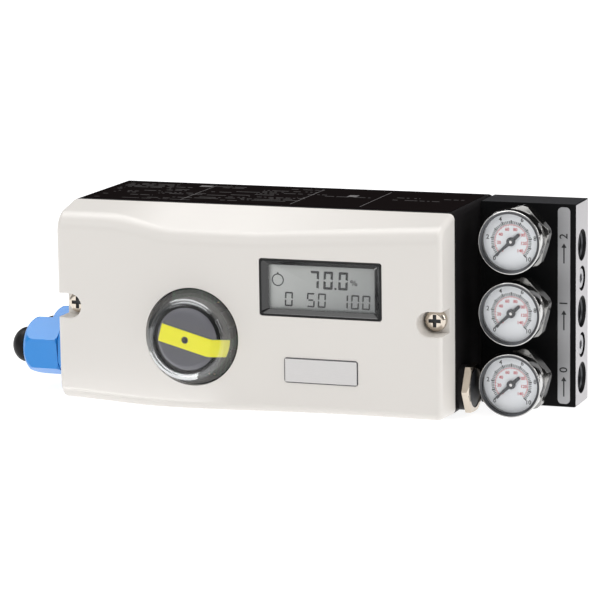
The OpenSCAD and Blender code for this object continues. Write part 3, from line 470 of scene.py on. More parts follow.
def cupFinish(look):
    finish = Finish("cup_grey")
    across, upright = finish.axis("X"), finish.axis("Z")
    front = across * across + upright * upright < look["edge"] ** 2
    cloud, grain = finish.noise(look["patch"], 3.0), finish.noise(look["grain"])
    face = finish.shade(cloud, look["face"], look["tone"])
    # painted shade: outside the face radius the cup is coloured near black
    finish.set({"Base Color": finish.mix(front, look["shadedFlank"], face), "Specular IOR Level": 0.15,
                "Roughness": look["rough"] + grain * look["spread"]})
    finish.bump(grain, look["relief"])


cupFinish(cupLook)


# Gauge dials: matt white print paper with faint specks
dial = {"white": tint(246, 248, 251), "fleck": tint(232, 235, 239), "speck": 0.3, "patch": 6,
        "speckShare": 0.5, "rough": 0.5, "spread": 0.12, "relief": 0.003}


def dialFinish(look):
    finish = Finish("dial_white")
    speck = finish.noise(look["speck"], 3.0)
    cloud = finish.noise(look["patch"], 2.0)
    share = speck * look["speckShare"] + cloud * (1 - look["speckShare"])
    finish.set({"Base Color": finish.mix(share, look["fleck"], look["white"]),
                "Roughness": look["rough"] + speck * look["spread"]})
    finish.bump(speck, look["relief"])


dialFinish(dial)
print("finishes", len(finishes))


# Mesh helpers: every outline is a list of points, with a fillet as a third number where it has one
def filleted(points, steps=5):
    made = []
    for i, point in enumerate(points):
        fillet = point[2] if len(point) > 2 else 0
        here = Vector(point[:2])
        if not fillet:
            made.append(here)
            continue
        before = (Vector(points[i - 1][:2]) - here).normalized()
        after = (Vector(points[(i + 1) % len(points)][:2]) - here).normalized()
        half = before.angle(after) / 2
        centre = here + (before + after).normalized() * fillet / math.sin(half)
        start = here + before * fillet / math.tan(half) - centre
        end = here + after * fillet / math.tan(half) - centre
        made += [centre + start.lerp(end, k / steps).normalized() * fillet for k in range(steps + 1)]
    return made


def roundRect(centreX, centreZ, width, height, radius, steps=6):
    x0, x1 = centreX - width / 2, centreX + width / 2
    z0, z1 = centreZ - height / 2, centreZ + height / 2
    return filleted([(x0, z0, radius), (x1, z0, radius), (x1, z1, radius), (x0, z1, radius)], steps)


def outlineOf(node, inset, radius):  # a node's front as a rounded rectangle
    low, high = span(node)
    centre, size = (low + high) / 2, high - low
    return roundRect(centre.x, centre.z, size.x - 2 * inset, size.z - 2 * inset, radius)


def circlePoints(centreX, centreZ, radius, steps, start=0.0):
    turn = 2 * math.pi / steps
    return [Vector((centreX + radius * math.cos(a), centreZ + radius * math.sin(a)))
            for a in (start + turn * k for k in range(steps))]


def quarterTurn(steps, first=0):  # angles from 0 to a right angle
    return [math.pi / 2 * k / steps for k in range(first, steps + 1)]


def lathe(outline, centre, steps=96, bm=None):  # outline of (radius, y), turned about a line along y
    bm = bm or bmesh.new()
    rings = []
    for radius, y in outline:
        count = 1 if radius < 1e-6 else steps
        ring = [(centre[0] + p.x, y, centre[1] + p.y) for p in circlePoints(0, 0, radius, count)]
        rings.append([bm.verts.new(p) for p in ring])
    for first, second in zip(rings, rings[1:] + rings[:1]):
        if len(first) == len(second) == 1:
            continue
        for k in range(steps):
            n = (k + 1) % steps
            corners = [first[k % len(first)], first[n % len(first)]]
            corners += [second[n % len(second)], second[k % len(second)]]
            bm.faces.new(list(dict.fromkeys(corners)))
    return bm


def loft(sections, bm=None, capped=True):  # sections of (outline, y), closed at both ends or in a loop
    bm = bm or bmesh.new()
    rings = [[bm.verts.new((p[0], y, p[1])) for p in outline] for outline, y in sections]
    if capped:
        bm.faces.new(rings[0])
        bm.faces.new(rings[-1][::-1])
    for first, second in zip(rings, rings[1:] if capped else rings[1:] + rings[:1]):
        for k in range(len(first)):
            n = (k + 1) % len(first)
            bm.faces.new([first[n], first[k], second[k], second[n]])
    return bm


def prism(outline, front, back, bm=None):  # outline of (x, z), from y = front to y = back
    return loft([(outline, front), (outline, back)], bm)


def stroke(bm, points, y, thick):  # a flat mark that stands in front of a face at y
    prism(points, y - thick, y, bm)


def soften(bm, width, angle=30, segments=2):  # rounds every edge sharper than the angle
    bmesh.ops.recalc_face_normals(bm, faces=bm.faces)
    sharp = [e for e in bm.edges if len(e.link_faces) == 2 and e.calc_face_angle() > math.radians(angle)]
    bmesh.ops.bevel(bm, geom=sharp, offset=width, offset_type="OFFSET", segments=segments, profile=0.5,
                    affect="EDGES", clamp_overlap=True)
    return bm


welding = {"distance": 0.002, "flatAngle": 0.6}


def cadMesh(node):  # a copy of a node's mesh, welded, in millimetres
    bm = bmesh.new()
    bm.from_mesh(frame["nodes"][node].data)
    bm.transform(Matrix.Scale(1 / perMm, 4))
    bmesh.ops.remove_doubles(bm, verts=bm.verts, dist=welding["distance"])
    flat = math.radians(welding["flatAngle"])
    bmesh.ops.dissolve_limit(bm, angle_limit=flat, verts=bm.verts, edges=bm.edges)
    return bm


def meshOf(name, bm):
    mesh = bpy.data.meshes.new(name)
    bm.to_mesh(mesh)
    bm.free()
    return mesh


def addPiece(name, bm, slot, body, replacing=(), finish=None, smooth=35, weighted=False):
    bmesh.ops.recalc_face_normals(bm, faces=bm.faces)
    bm.transform(Matrix.Scale(perMm, 4))
    mesh = meshOf(name, bm)
    mesh.polygons.foreach_set("use_smooth", [True] * len(mesh.polygons))
    mesh.set_sharp_from_angle(angle=math.radians(smooth))
    mesh.materials.append(finishes[finish or slot])
    piece = bpy.data.objects.new(name, mesh)
    scene.collection.objects.link(piece)
    if weighted:
        piece.modifiers.new("evenShade", "WEIGHTED_NORMAL").keep_sharp = True
    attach(piece, body)
    for node in replacing:
        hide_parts(node)
    return piece


def lettering(words, size, place, turn, bm, thick, bold):  # plain numerals laid on a face that looks along -y
    curve = bpy.data.curves.new("numerals", "FONT")
    curve.body = words
    curve.size = size
    curve.align_x = "CENTER"
    curve.align_y = "CENTER"
    curve.extrude = thick / 2
    curve.offset = bold
    curve.resolution_u = 3
    holder = bpy.data.objects.new("numerals", curve)
    mesh = bpy.data.meshes.new_from_object(holder)
    standing = Matrix.Rotation(turn, 4, "Y") @ Matrix.Rotation(math.pi / 2, 4, "X")
    mesh.transform(Matrix.Translation(place) @ standing)
    bm.from_mesh(mesh)
    bpy.data.objects.remove(holder)
    bpy.data.curves.remove(curve)
    bpy.data.meshes.remove(mesh)


def carve(bm, cutter, operation):  # one boolean step, kept as plain mesh
    pieces = []
    for name, shape in (("carved", bm), ("cutter", cutter)):
        bmesh.ops.recalc_face_normals(shape, faces=shape.faces)
        pieces.append(bpy.data.objects.new(name, meshOf(name, shape)))
        scene.collection.objects.link(pieces[-1])
    body, tool = pieces
    step = body.modifiers.new("carve", "BOOLEAN")
    step.operation = operation
    step.object = tool
    step.solver = "EXACT"
    made = bmesh.new()
    made.from_mesh(bpy.data.meshes.new_from_object(body.evaluated_get(bpy.context.evaluated_depsgraph_get())))
    for piece in pieces:
        bpy.data.objects.remove(piece)
    return made


# Front cover: a loft with a waved shoulder, a rolled front edge and a belly below
cover = {"depth": 20, "wall": 3, "cornerRadius": 2.5, "leastCorner": 0.8, "cornerSteps": 6, "step": 2.5,
         "shoulderLow": 4.5, "shoulderHigh": 11.3, "shoulderRadius": 8.5, "shoulderSteps": 14,
         "sillLeft": 6, "sillRight": 3.5, "sillLift": 1.3, "sillSteps": 9, "leastRoll": 1,
         "belly": 2.6, "bellyAt": 48, "waveStart": 22, "waveEnd": 58, "waveHold": 94,
         "pocketRadius": 5.5, "pocketDepth": 12.4, "pocketFlare": 0.8, "flareSteps": 5, "pocketReach": 14,
         "pocketSteps": 24, "screwHole": 2.9, "windowRadius": 21.95, "stop": 6, "gap": 0.1,
         "frameCorner": 1.2, "paneCorner": 1.5, "plateCorner": 1.3, "edge": 0.02, "past": 1.0}


def eased(t):
    t = min(max(t, 0), 1)
    return t * t * (3 - 2 * t)


def coverSection(u, inset, back):  # points of (y, z) from the top of the seat round the front to its bottom
    low, high = span("housing")
    ends = span("front_cover")
    width = ends[1].x - ends[0].x
    front = ends[0].y
    if u < cover["waveHold"]:
        wave = eased((u - cover["waveStart"]) / (cover["waveEnd"] - cover["waveStart"]))
    else:
        wave = 1 - min(max((u - cover["waveHold"]) / (width - cover["waveHold"]), 0), 1)
    drop = cover["shoulderLow"] + (cover["shoulderHigh"] - cover["shoulderLow"]) * wave
    if u < cover["bellyAt"]:
        swell = eased(u / cover["bellyAt"])
    else:
        swell = (1 - eased((u - cover["bellyAt"]) / (width - cover["bellyAt"]))) ** 2
    lift = cover["sillLift"] - cover["belly"] * swell
    seat = front + cover["depth"]
    corner = max(cover["cornerRadius"] - inset, cover["leastCorner"])
    reach = max(min(u, width - u) - inset, 0)
    pull = corner - math.sqrt(corner ** 2 - (corner - reach) ** 2) if reach < corner else 0
    face = front + inset + pull
    slope, rise = math.atan(drop / cover["depth"]), math.atan(lift / cover["depth"])
    topBack = high.z - inset - pull + (back - seat) * math.tan(slope)
    lowBack = low.z + inset + pull - (back - seat) * math.tan(rise)
    roll = max(cover["shoulderRadius"] - inset, cover["leastRoll"])
    sill = cover["sillLeft"] + (cover["sillRight"] - cover["sillLeft"]) * u / width
    sill = max(sill - inset, cover["leastRoll"])
    quarter = math.pi / 2
    rollZ = topBack - (back - face) * math.tan(slope) - roll / math.tan((quarter + slope) / 2)
    sillZ = lowBack + (back - face) * math.tan(rise) + sill / math.tan((quarter + rise) / 2)
    made = [(back, topBack)]
    for radius, z, start, sweep, steps in (
            (roll, rollZ, quarter + slope, quarter - slope, cover["shoulderSteps"]),
            (sill, sillZ, math.pi, quarter - rise, cover["sillSteps"])):
        for a in (start + sweep * k / steps for k in range(steps + 1)):
            made.append((face + radius + radius * math.cos(a), z + radius * math.sin(a)))
    made.append((back, lowBack))
    return made


def coverStations(inset):
    low, high = span("front_cover")
    width = high.x - low.x
    corner = max(cover["cornerRadius"] - inset, cover["leastCorner"])
    ends = [inset + corner * (1 - math.cos(a)) for a in quarterTurn(cover["cornerSteps"])[:-1]]
    steps = round(width / cover["step"])
    inner = [inset + corner + (width - 2 * (inset + corner)) * k / steps for k in range(steps + 1)]
    return ends + inner + [width - e for e in ends[::-1]]


def coverTub(bm, inset, back):  # one skin of the cover, open at the back
    left = span("front_cover")[0].x
    rings = []
    for u in coverStations(inset):
        rings.append([bm.verts.new((left + u, y, z)) for y, z in coverSection(u, inset, back)])
    for first, second in zip(rings, rings[1:]):
        for k in range(len(first) - 1):
            bm.faces.new([first[k], second[k], second[k + 1], first[k + 1]])
    bm.faces.new(rings[0])
    bm.faces.new(rings[-1][::-1])
    return rings


def pocketOutline(x, z, radius, towards):  # a slot with a round end, open past the end of the cover
    far, steps = x + towards * cover["pocketReach"], cover["pocketSteps"]
    arc = [(x - towards * radius * math.cos(a), z + radius * math.sin(a))
           for a in (math.pi / 2 - math.pi * k / steps for k in range(steps + 1))]
    return [(far, z + radius), *arc, (far, z - radius)]


def coverShell(seat):  # two skins, joined round the seat
    bm = bmesh.new()
    outer, inner = coverTub(bm, 0, seat), coverTub(bm, cover["wall"], seat)
    for first, second, outside, within in zip(outer, outer[1:], inner, inner[1:]):
        for k in (0, -1):
            bm.faces.new([first[k], second[k], within[k], outside[k]])
    for k in (0, -1):
        bm.faces.new([outer[k][0], outer[k][-1], inner[k][-1], inner[k][0]])
    return bm


def buildCover():
    low, high = span("front_cover")
    front, seat, past, edge = low.y, high.y, cover["past"], cover["edge"]
    screws, screwZ = span("cover_screws"), middle("cover_screws").z
    inset = (screws[1].z - screws[0].z) / 2
    ends = ((screws[0].x + inset, -1), (screws[1].x - inset, 1))
    bosses, cuts = bmesh.new(), bmesh.new()
    flare, depth = cover["pocketFlare"], cover["pocketDepth"]
    mouth = [(flare * 2, -past)]
    mouth += [(flare * (1 - math.sin(a)), flare * (1 - math.cos(a)))
              for a in quarterTurn(cover["flareSteps"])]
    for x, towards in ends:
        outline = pocketOutline(x, screwZ, cover["pocketRadius"] + cover["wall"], towards)
        outline = [(min(max(p[0], low.x + edge), high.x - edge), p[1]) for p in outline]
        prism(outline, front + cover["wall"], seat - edge, bosses)
        loft([(pocketOutline(x, screwZ, cover["pocketRadius"] + grow, towards), front + sink)
              for grow, sink in mouth + [(0, depth)]], cuts)
        prism(circlePoints(x, screwZ, cover["screwHole"], 32), front + depth - past, seat + past, cuts)
    openingBack = seat - cover["stop"]
    prism(circlePoints(0, 0, cover["windowRadius"], 128), front - past, openingBack, cuts)
    for node, start, back, corner in (
            ("display_frame", front - past, openingBack, "frameCorner"),
            ("display_pane", span("display_frame")[1].y, openingBack, "paneCorner"),
            ("name_plate", front - past, span("name_plate")[1].y, "plateCorner")):
        prism(outlineOf(node, -cover["gap"], cover[corner]), start, back, cuts)
    bm = carve(coverShell(seat), bosses, "UNION")
    bm = carve(bm, cuts, "DIFFERENCE")
    addPiece("coverShell", bm, "cover_white", "cover", ["front_cover"], smooth=28, weighted=True)


buildCover()
print("cover")


# Indicator window: one clear cap, with a wide rolled rim
window = {"base": 21.5, "front": 17.75, "wall": 1.7, "rim": 5, "innerFront": 16.5, "innerRim": 3.3,
          "flange": 24.5, "flangeThick": 1.8, "edge": 0.3, "foot": 1.0}


def buildWindow(look):
    low, high = span("indicator_window")
    face = span("front_cover")[0].y
    inside = low.y + look["wall"]
    bore = look["base"] - look["wall"]
    shoulder = high.y - look["flangeThick"]
    flange, edge, foot = look["flange"], look["edge"], look["foot"]
    outline = filleted([
        (bore, high.y), (flange, high.y, edge), (flange, shoulder, edge), (look["base"], shoulder),
        (look["base"], face, foot), (look["front"], low.y, look["rim"]), (0, low.y), (0, inside),
        (look["innerFront"], inside, look["innerRim"]), (bore, face, foot)], 10)
    bm = lathe(outline, (0, 0), 160)
    addPiece("windowCap", bm, "clear", "cover", ["indicator_window"], smooth=50).visible_shadow = False


# Indicator: a grey cup with a rolled edge under the yellow stripe, held by one small screw
cup = {"face": 12.5, "foot": 18, "wall": 1.8, "skirt": 9, "roll": 2.0, "hub": 6, "edge": 0.3, "inner": 0.5,
       "screw": 1.25, "screwTall": 1.0, "slot": 0.4, "slotDepth": 0.45, "slotCorner": 0.1}


def buildIndicator(look):
    low, high = span("indicator_cup")
    wall, hub, foot = look["wall"], look["hub"], look["foot"]
    inside, skirt = low.y + wall, low.y + look["skirt"]
    face, edge, inner = look["face"], look["edge"], look["inner"]
    outline = filleted([
        (0, low.y), (face, low.y, look["roll"]), (foot, skirt, edge), (foot - wall, skirt, edge),
        (face - wall, inside, inner), (hub, inside, inner), (hub, high.y), (0, high.y)], 8)
    addPiece("indicatorBody", lathe(outline, (0, 0), 128), "plastic_grey", "shaft", ["indicator_cup"],
             finish="cup_grey")
    head, radius = span("indicator_screw")[0].y, look["screw"]
    base = head + look["screwTall"]
    bm = lathe(filleted([(0, head), (radius, head, edge), (radius, base), (0, base)]), (0, 0), 48)
    outline = roundRect(0, 0, 4 * radius, look["slot"], look["slotCorner"])
    slot = prism(outline, head - 1, head + look["slotDepth"])
    addPiece("indicatorScrew", carve(bm, slot, "DIFFERENCE"), "steel", "shaft", ["indicator_screw"],
             finish="aluminium_bare")


buildWindow(window)
buildIndicator(cup)
print("indicator")


# Display frame: a flat rim and four slopes that lead down to the panel
display = {"rim": 1.0, "corner": 1.1, "throatCorner": 0.5, "edge": 0.25, "slopeStart": 1.2, "sideLap": 3,
           "endLap": 2}


def buildDisplayFrame(look):
    low, high = span("display_frame")
    centre = (low + high) / 2
    holder = span("display_holder")
    seen = holder[1] - holder[0]
    rim, edge, corner = look["rim"], look["edge"], look["corner"]
    loops = [(0, high.y), (0, low.y + edge), (edge, low.y), (rim, low.y)]
    loops.append((look["slopeStart"] * rim, low.y + edge))
    sections = [(outlineOf("display_frame", inset, corner), y) for inset, y in loops]
    throat = roundRect(centre.x, centre.z, seen.x - 2 * look["sideLap"], seen.z - 2 * look["endLap"],
                       look["throatCorner"])
    bm = loft(sections + [(throat, high.y)], capped=False)
    addPiece("displayFrame", bm, "plastic_dark", "cover", ["display_frame"], finish="frame_dark", smooth=25)


# Display: a grey panel with dark segments, placed from its middle, and the pane in front
segments = {"ink": "segment_black", "thick": 0.04, "gap": 0.22, "lean": 0.05, "mitre": 0.4,
            "panelCorner": 0.6, "paneCorner": 1.5, "edge": 0.15}
readings = (
    {"text": "700", "at": (-6.0, -0.4), "pitch": 6.4, "wide": 4.3, "tall": 8.0, "stroke": 1.1, "last": 0.5},
    {"text": "0 50 100", "at": (-17.6, -8.6), "pitch": 5.1, "wide": 3.7, "tall": 6.4, "stroke": 0.72,
     "last": 0})
signs = {"point": (6.05, 0.05), "pointSize": 0.9, "pointCorner": 0.1, "percent": (14.4, 3.0),
         "ringAt": (0.95, 0.6), "ringShift": 0.1, "ring": 0.68, "ringWidth": 0.4, "barTall": 1.1,
         "barLow": -0.85, "barWide": 0.45, "barLean": 1.45, "mark": (-20.6, 2.9), "markRadius": 2.8,
         "markWidth": 0.5, "markTop": 3.0, "markDot": 0.42}
litOf = {"0": "abcdef", "1": "bc", "5": "acdfg", "7": "abc", " ": ""}


def drawDigit(bm, digit, x, z, y, size):  # seven bars with mitred ends
    gap, lean, width = segments["gap"], segments["lean"], size["stroke"]
    wide, tall, cut = size["wide"], size["tall"], segments["mitre"] * width
    half, side = tall / 2, width / 2
    right = wide - gap

    def leaning(points):
        return [(x + px + lean * pz, z + pz) for px, pz in points]

    def flat(pz, shift):  # a level bar
        inner = pz + shift * width
        return leaning([(gap, pz), (right, pz), (right - cut, inner), (gap + cut, inner)])

    def upright(px, shift, z0, z1):
        low, high, inner = z0 + gap, z1 - gap, px + shift * width
        return leaning([(px, low), (px, high), (inner, high - cut), (inner, low + cut)])

    centreBar = leaning([(gap + side, half), (gap + width, half + side), (right - width, half + side),
                         (right - side, half), (right - width, half - side), (gap + width, half - side)])
    bars = {"a": flat(tall, -1), "d": flat(0, 1), "g": centreBar, "f": upright(0, 1, half, tall),
            "e": upright(0, 1, 0, half), "b": upright(wide, -1, half, tall), "c": upright(wide, -1, 0, half)}
    for name in litOf[digit]:
        stroke(bm, bars[name], y, segments["thick"])


def ringMark(bm, x, z, radius, width, y, steps):
    outer, inner = circlePoints(x, z, radius, steps), circlePoints(x, z, radius - width, steps)
    for k in range(steps):
        n = (k + 1) % steps
        stroke(bm, [outer[k], outer[n], inner[n], inner[k]], y, segments["thick"])


def drawSigns(bm, centre, y, look):  # decimal point, percent sign and a plain ring with a dot
    thick = segments["thick"]
    x, z = centre.x + look["point"][0], centre.z + look["point"][1]
    stroke(bm, roundRect(x, z, look["pointSize"], look["pointSize"], look["pointCorner"], 2), y, thick)
    x, z = centre.x + look["percent"][0], centre.z + look["percent"][1]
    for side in (-1, 1):
        ringX = x + look["ringShift"] + side * look["ringAt"][0]
        ringMark(bm, ringX, z - side * look["ringAt"][1], look["ring"], look["ringWidth"], y, 16)
    tall, low, wide, lean = (look[key] for key in ("barTall", "barLow", "barWide", "barLean"))
    stroke(bm, [(x + low, z - tall), (x + low + wide, z - tall), (x + low + wide + lean, z + tall),
                (x + low + lean, z + tall)], y, thick)
    x, z = centre.x + look["mark"][0], centre.z + look["mark"][1]
    ringMark(bm, x, z, look["markRadius"], look["markWidth"], y, 40)
    stroke(bm, circlePoints(x, z + look["markTop"], look["markDot"], 12), y, thick)


def flatPane(node, corner):
    low, high = span(node)
    return soften(prism(outlineOf(node, 0, corner), low.y, high.y), segments["edge"])


def buildDisplay(look):
    centre, y = middle("display_glass"), span("display_glass")[0].y
    panelShape = flatPane("display_glass", look["panelCorner"])
    addPiece("displayPanel", panelShape, "display_grey", "base", ["display_glass"])
    ink = bmesh.new()
    for reading in readings:
        for k, digit in enumerate(reading["text"]):
            shift = reading["last"] if k == len(reading["text"]) - 1 else 0
            x = centre.x + reading["at"][0] + k * reading["pitch"] + shift
            drawDigit(ink, digit, x, centre.z + reading["at"][1], y, reading)
    drawSigns(ink, centre, y, signs)
    addPiece("displaySegments", ink, "needle_dark", "base", finish=look["ink"])
    pane = flatPane("display_pane", look["paneCorner"])
    addPiece("displayCover", pane, "clear", "cover", ["display_pane"], finish="pane").visible_shadow = False


buildDisplayFrame(display)
buildDisplay(segments)
print("display")


# Name plate: bare brushed metal with a turned-down rim, as steps of (inset, distance behind the front)
plate = {"corner": 1.2, "leastCorner": 0.3,
         "rim": ((0, 0.25), (0.12, 0.06), (0.3, 0), (0.55, 0), (0.75, 0.12))}


def buildPlate(look):
    low, high = span("name_plate")
    loops = [(0, high.y)] + [(inset, low.y + sink) for inset, sink in look["rim"]]
    bm = loft([(outlineOf("name_plate", inset, max(look["corner"] - inset, look["leastCorner"])), y)
               for inset, y in loops])
    addPiece("namePlate", bm, "plate_silver", "cover", ["name_plate"], finish="badge_silver", smooth=20)


buildPlate(plate)


# Gauges: turned cases, printed dials, and a bright cap on each needle
gauge = {"rim": 14.15, "body": 13.55, "ring": 13.6, "mouth": 12.5, "glass": 13.15, "bore": 12.0,
         "stem": 4.6, "seat": 12.8, "bezel": 6, "bezelStep": 0.7, "bezelEdge": 0.5, "bodyEdge": 1.0,
         "edge": 0.3, "ringEdge": 0.1, "lipBack": 0.46, "glassBack": 1.72, "dialBack": 4.1, "floor": 1.3,
         "gap": 0.05, "cap": 0.75, "capTall": 0.28, "capEdge": 0.2}
# the ring inside each bezel is chrome, shown dark as a painted reflection
darkReflectionRingLook = {"front": 0.1, "slopeEnd": 0.5, "slopeBack": 0.3, "edge": 0.2, "sleeve": 1.85, "gap": 0.02}
scale = {"zero": 225, "sweep": 270, "film": 0.03, "bold": 0.045, "arc": 7.55, "arcWidth": 0.22,
         "arcSteps": 90, "longEvery": 5, "long": 1.6, "longer": 0.3}
blackScale = {"marks": 50, "inner": 7.8, "outer": 9.1, "width": 0.38, "numbers": (0, 2, 4, 6, 8, 10),
              "at": 10.8, "size": 2.7}
redScale = {"marks": 28, "inner": 6.9, "outer": 7.33, "width": 0.16,
            "numbers": (0, 20, 40, 60, 80, 100, 120, 140), "at": 5.6, "size": 1.9}


def radial(centre, radius, angle):
    return Vector((centre.x + radius * math.cos(angle), centre.z + radius * math.sin(angle)))


def scaleAngle(share):
    return math.radians(scale["zero"] - scale["sweep"] * share)


def drawScale(bm, centre, y, look):  # ticks and plain numbers
    thick = scale["film"]
    for k in range(look["marks"] + 1):
        a = scaleAngle(k / look["marks"])
        isLong = k % scale["longEvery"] == 0
        across = Vector((-math.sin(a), math.cos(a))) * look["width"] * (scale["long"] if isLong else 1) / 2
        near = radial(centre, look["inner"], a)
        far = radial(centre, look["outer"] + (scale["longer"] if isLong else 0), a)
        stroke(bm, [near - across, far - across, far + across, near + across], y, thick)
    for k, number in enumerate(look["numbers"]):
        spot = radial(centre, look["at"], scaleAngle(k / (len(look["numbers"]) - 1)))
        place = (spot.x, y - thick / 2, spot.y)
        lettering(str(number), look["size"], place, 0, bm, thick, scale["bold"])


def drawArc(bm, centre, y):
    inner, outer, steps = scale["arc"] - scale["arcWidth"], scale["arc"], scale["arcSteps"]
    for k in range(steps):
        a, b = scaleAngle(k / steps), scaleAngle((k + 1) / steps)
        corners = ((inner, a), (outer, a), (outer, b), (inner, b))
        stroke(bm, [radial(centre, radius, angle) for radius, angle in corners], y, scale["film"])


def buildGauge(i, look):
    low, high = span(f"gauge_case_{i}")
    centre = (low + high) / 2
    axis = (centre.x, centre.z)
    front, back, floor = low.y, high.y, high.y - look["floor"]
    bezel, lip = front + look["bezel"], front + look["lipBack"]
    glassBack, dialBack = front + look["glassBack"], front + look["dialBack"]
    body, rim, ring, seat, bore, stem, mouth, edge = (
        look[key] for key in ("body", "rim", "ring", "seat", "bore", "stem", "mouth", "edge"))
    outline = filleted([
        (stem, back), (body, back, look["bodyEdge"]), (body, bezel, edge),
        (rim, bezel - look["bezelStep"], edge), (rim, front, look["bezelEdge"]),
        (ring, front, look["ringEdge"]), (ring, lip),
        (look["glass"] + look["gap"], glassBack), (seat, glassBack), (seat, dialBack), (bore, dialBack),
        (bore, floor), (stem, floor)], 7)
    addPiece(f"gaugeShell_{i}", lathe(outline, axis, 112), "chrome", "base", [f"gauge_case_{i}"])
    y = span(f"gauge_dial_{i}")[0].y
    slope = filleted([(ring, front + darkReflectionRingLook["front"]),
                      (mouth + darkReflectionRingLook["slopeEnd"], front + darkReflectionRingLook["slopeBack"], darkReflectionRingLook["edge"]),
                      (mouth, lip), (ring, lip)])
    outside, near, far = seat - darkReflectionRingLook["gap"], y - darkReflectionRingLook["gap"], y - darkReflectionRingLook["sleeve"]
    sleeve = [(outside, near), (outside, far), (mouth, far), (mouth, near)]
    rings = lathe(sleeve, axis, 112, lathe(slope, axis, 112))
    # painted reflection: the chrome ring takes the dark finish ring_dark
    addPiece(f"gaugePaintedReflectionRing_{i}", rings, "chrome", "base", finish="ring_dark")
    black, red = bmesh.new(), bmesh.new()
    drawScale(black, centre, y, blackScale)
    addPiece(f"gaugeScale_{i}", black, "needle_dark", "base", finish="scale_black")
    drawArc(red, centre, y)
    drawScale(red, centre, y, redScale)
    addPiece(f"gaugeScaleRed_{i}", red, "needle_dark", "base", finish="scale_red")
    first, last = (side.y for side in span(f"gauge_crystal_{i}"))
    crystal = filleted([(0, first), (look["glass"], first, edge), (look["glass"], last, edge), (0, last)], 3)
    shown = addPiece(f"gaugeGlass_{i}", lathe(crystal, axis, 96), "clear", "base", [f"gauge_crystal_{i}"],
                     finish="pane")
    shown.visible_shadow = False
    hub, cap = span(f"gauge_needle_{i}")[0].y, look["cap"]
    top = hub - look["capTall"]
    bm = lathe(filleted([(0, top), (cap, top, look["capEdge"]), (cap, hub), (0, hub)]), axis, 32)
    addPiece(f"needleCap_{i}", bm, "chrome", f"needle_{i}")


for number in (1, 2, 3):
    buildGauge(number, gauge)
print("gauges")


# Port strip: a plain numeral and an arrow beside each port, turned to read from the right
marks = {"numbers": ("2", "1", "0"), "size": 5.2, "film": 0.03, "bold": 0.05, "shift": 5.2, "arrow": 9.0,
         "arrowDrop": 2.4, "shaft": 0.6, "head": 2.0, "headHalf": 1.2, "pitch": 30, "drop": 3.95}


def portHeights(look):
    middlePort = middle("gauge_block").z - look["drop"]
    return [middlePort + k * look["pitch"] for k in (1, 0, -1)]


def buildMarks(look):
    x, y = middle("port_strip").x, span("port_strip")[0].y
    half, headHalf, drop = look["shaft"] / 2, look["headHalf"], look["arrowDrop"]
    bm = bmesh.new()
    for number, z in zip(look["numbers"], portHeights(look)):
        place = (x, y - look["film"] / 2, z + look["shift"])
        lettering(number, look["size"], place, -math.pi / 2, bm, look["film"], look["bold"])
        tip, tail = z + look["arrow"] / 2 - drop, z - look["arrow"] / 2 - drop
        neck = tip - look["head"]
        stroke(bm, [(x - half, tail), (x + half, tail), (x + half, neck), (x + headHalf, neck), (x, tip),
                    (x - headHalf, neck), (x - half, neck)], y, look["film"])
    addPiece("portMarks", bm, "needle_dark", "base", finish="scale_black")


# Ports: the crests of a pipe thread inside each bore
thread = {"bore": 5.92, "root": 5.86, "crest": 5.35, "start": 1.25, "pitch": 1.34, "turns": 7}


def facingRight(x, y=0, z=0):  # turns a shape made along -y towards +x
    return Matrix.Translation((x, y, z)) @ Matrix.Rotation(math.pi / 2, 4, "Z")


def buildThreads(look):
    outline = [(look["bore"], look["start"])]
    for k in range(look["turns"]):
        near = look["start"] + look["pitch"] * k
        outline += [(look["root"], near), (look["crest"], near + look["pitch"] / 2)]
    outline.append((look["bore"], look["start"] + look["pitch"] * look["turns"]))
    bm = bmesh.new()
    for z in portHeights(marks):
        lathe(outline, (middle("gauge_block").y, z), 64, bm)
    bm.transform(facingRight(span("gauge_block")[1].x))
    addPiece("portThreads", bm, slotOf["gauge_block"], "base", finish="ring_dark", smooth=20)


buildMarks(marks)
buildThreads(thread)


# Board: chips as (x, z, width, height) and cans as (x, z, radius, height), seen with the cover off
chips = {"tall": 1.5, "corner": 0.3, "lift": 0.2, "edge": 0.12, "gap": 0.02, "canEdge": 0.5,
         "leg": 0.8, "legWide": 0.5, "legTall": 0.35, "legCorner": 0.05, "legPitch": 1.27,
         "boxes": ((8, 33, 12, 12), (-4, 42, 8, 6), (22, 40, 7, 9), (10, -17, 10, 10), (26, -19, 6, 8),
                   (84, -6, 9, 12), (84, -20, 7, 5)),
         "cans": ((26, 28, 3.2, 7), (-6, 30, 2.6, 6), (38, -19, 3.2, 7), (94, 20, 2.6, 6))}


def buildChips(look):
    y = span("main_board")[0].y
    foot, leg, pitch = y - look["gap"], look["leg"], look["legPitch"]
    dark, legs, cans = bmesh.new(), bmesh.new(), bmesh.new()
    for x, z, wide, tall in look["boxes"]:
        prism(roundRect(x, z, wide, tall, look["corner"], 2), y - look["tall"], y - look["lift"], dark)
        count = int(tall / pitch)
        for k in range(count):
            spot = z + (k - (count - 1) / 2) * pitch
            for side in (-1, 1):
                legX = x + side * (wide / 2 + leg / 2)
                outline = roundRect(legX, spot, leg, look["legWide"], look["legCorner"], 1)
                prism(outline, y - look["legTall"], foot, legs)
    for x, z, radius, tall in look["cans"]:
        outline = [(0, foot), (radius, foot), (radius, y - tall, look["canEdge"]), (0, y - tall)]
        lathe(filleted(outline), (x, z), 40, cans)
    addPiece("boardChips", soften(dark, look["edge"]), "plastic_dark", "base")
    addPiece("boardLegs", legs, "steel", "base")
    addPiece("boardCans", cans, "aluminium_bare", "base")


buildChips(chips)
print("marks and board")


# Screw recesses: a dark piece on the floor of each cross and key, as painted shade
recess = {"reach": 2.78, "half": 0.66, "top": 1.0, "floor": 1.98, "key": 2.28, "keyTop": 1.6,
          "keyFloor": 2.58, "headRadius": 4.85, "boltRadius": 4.35}


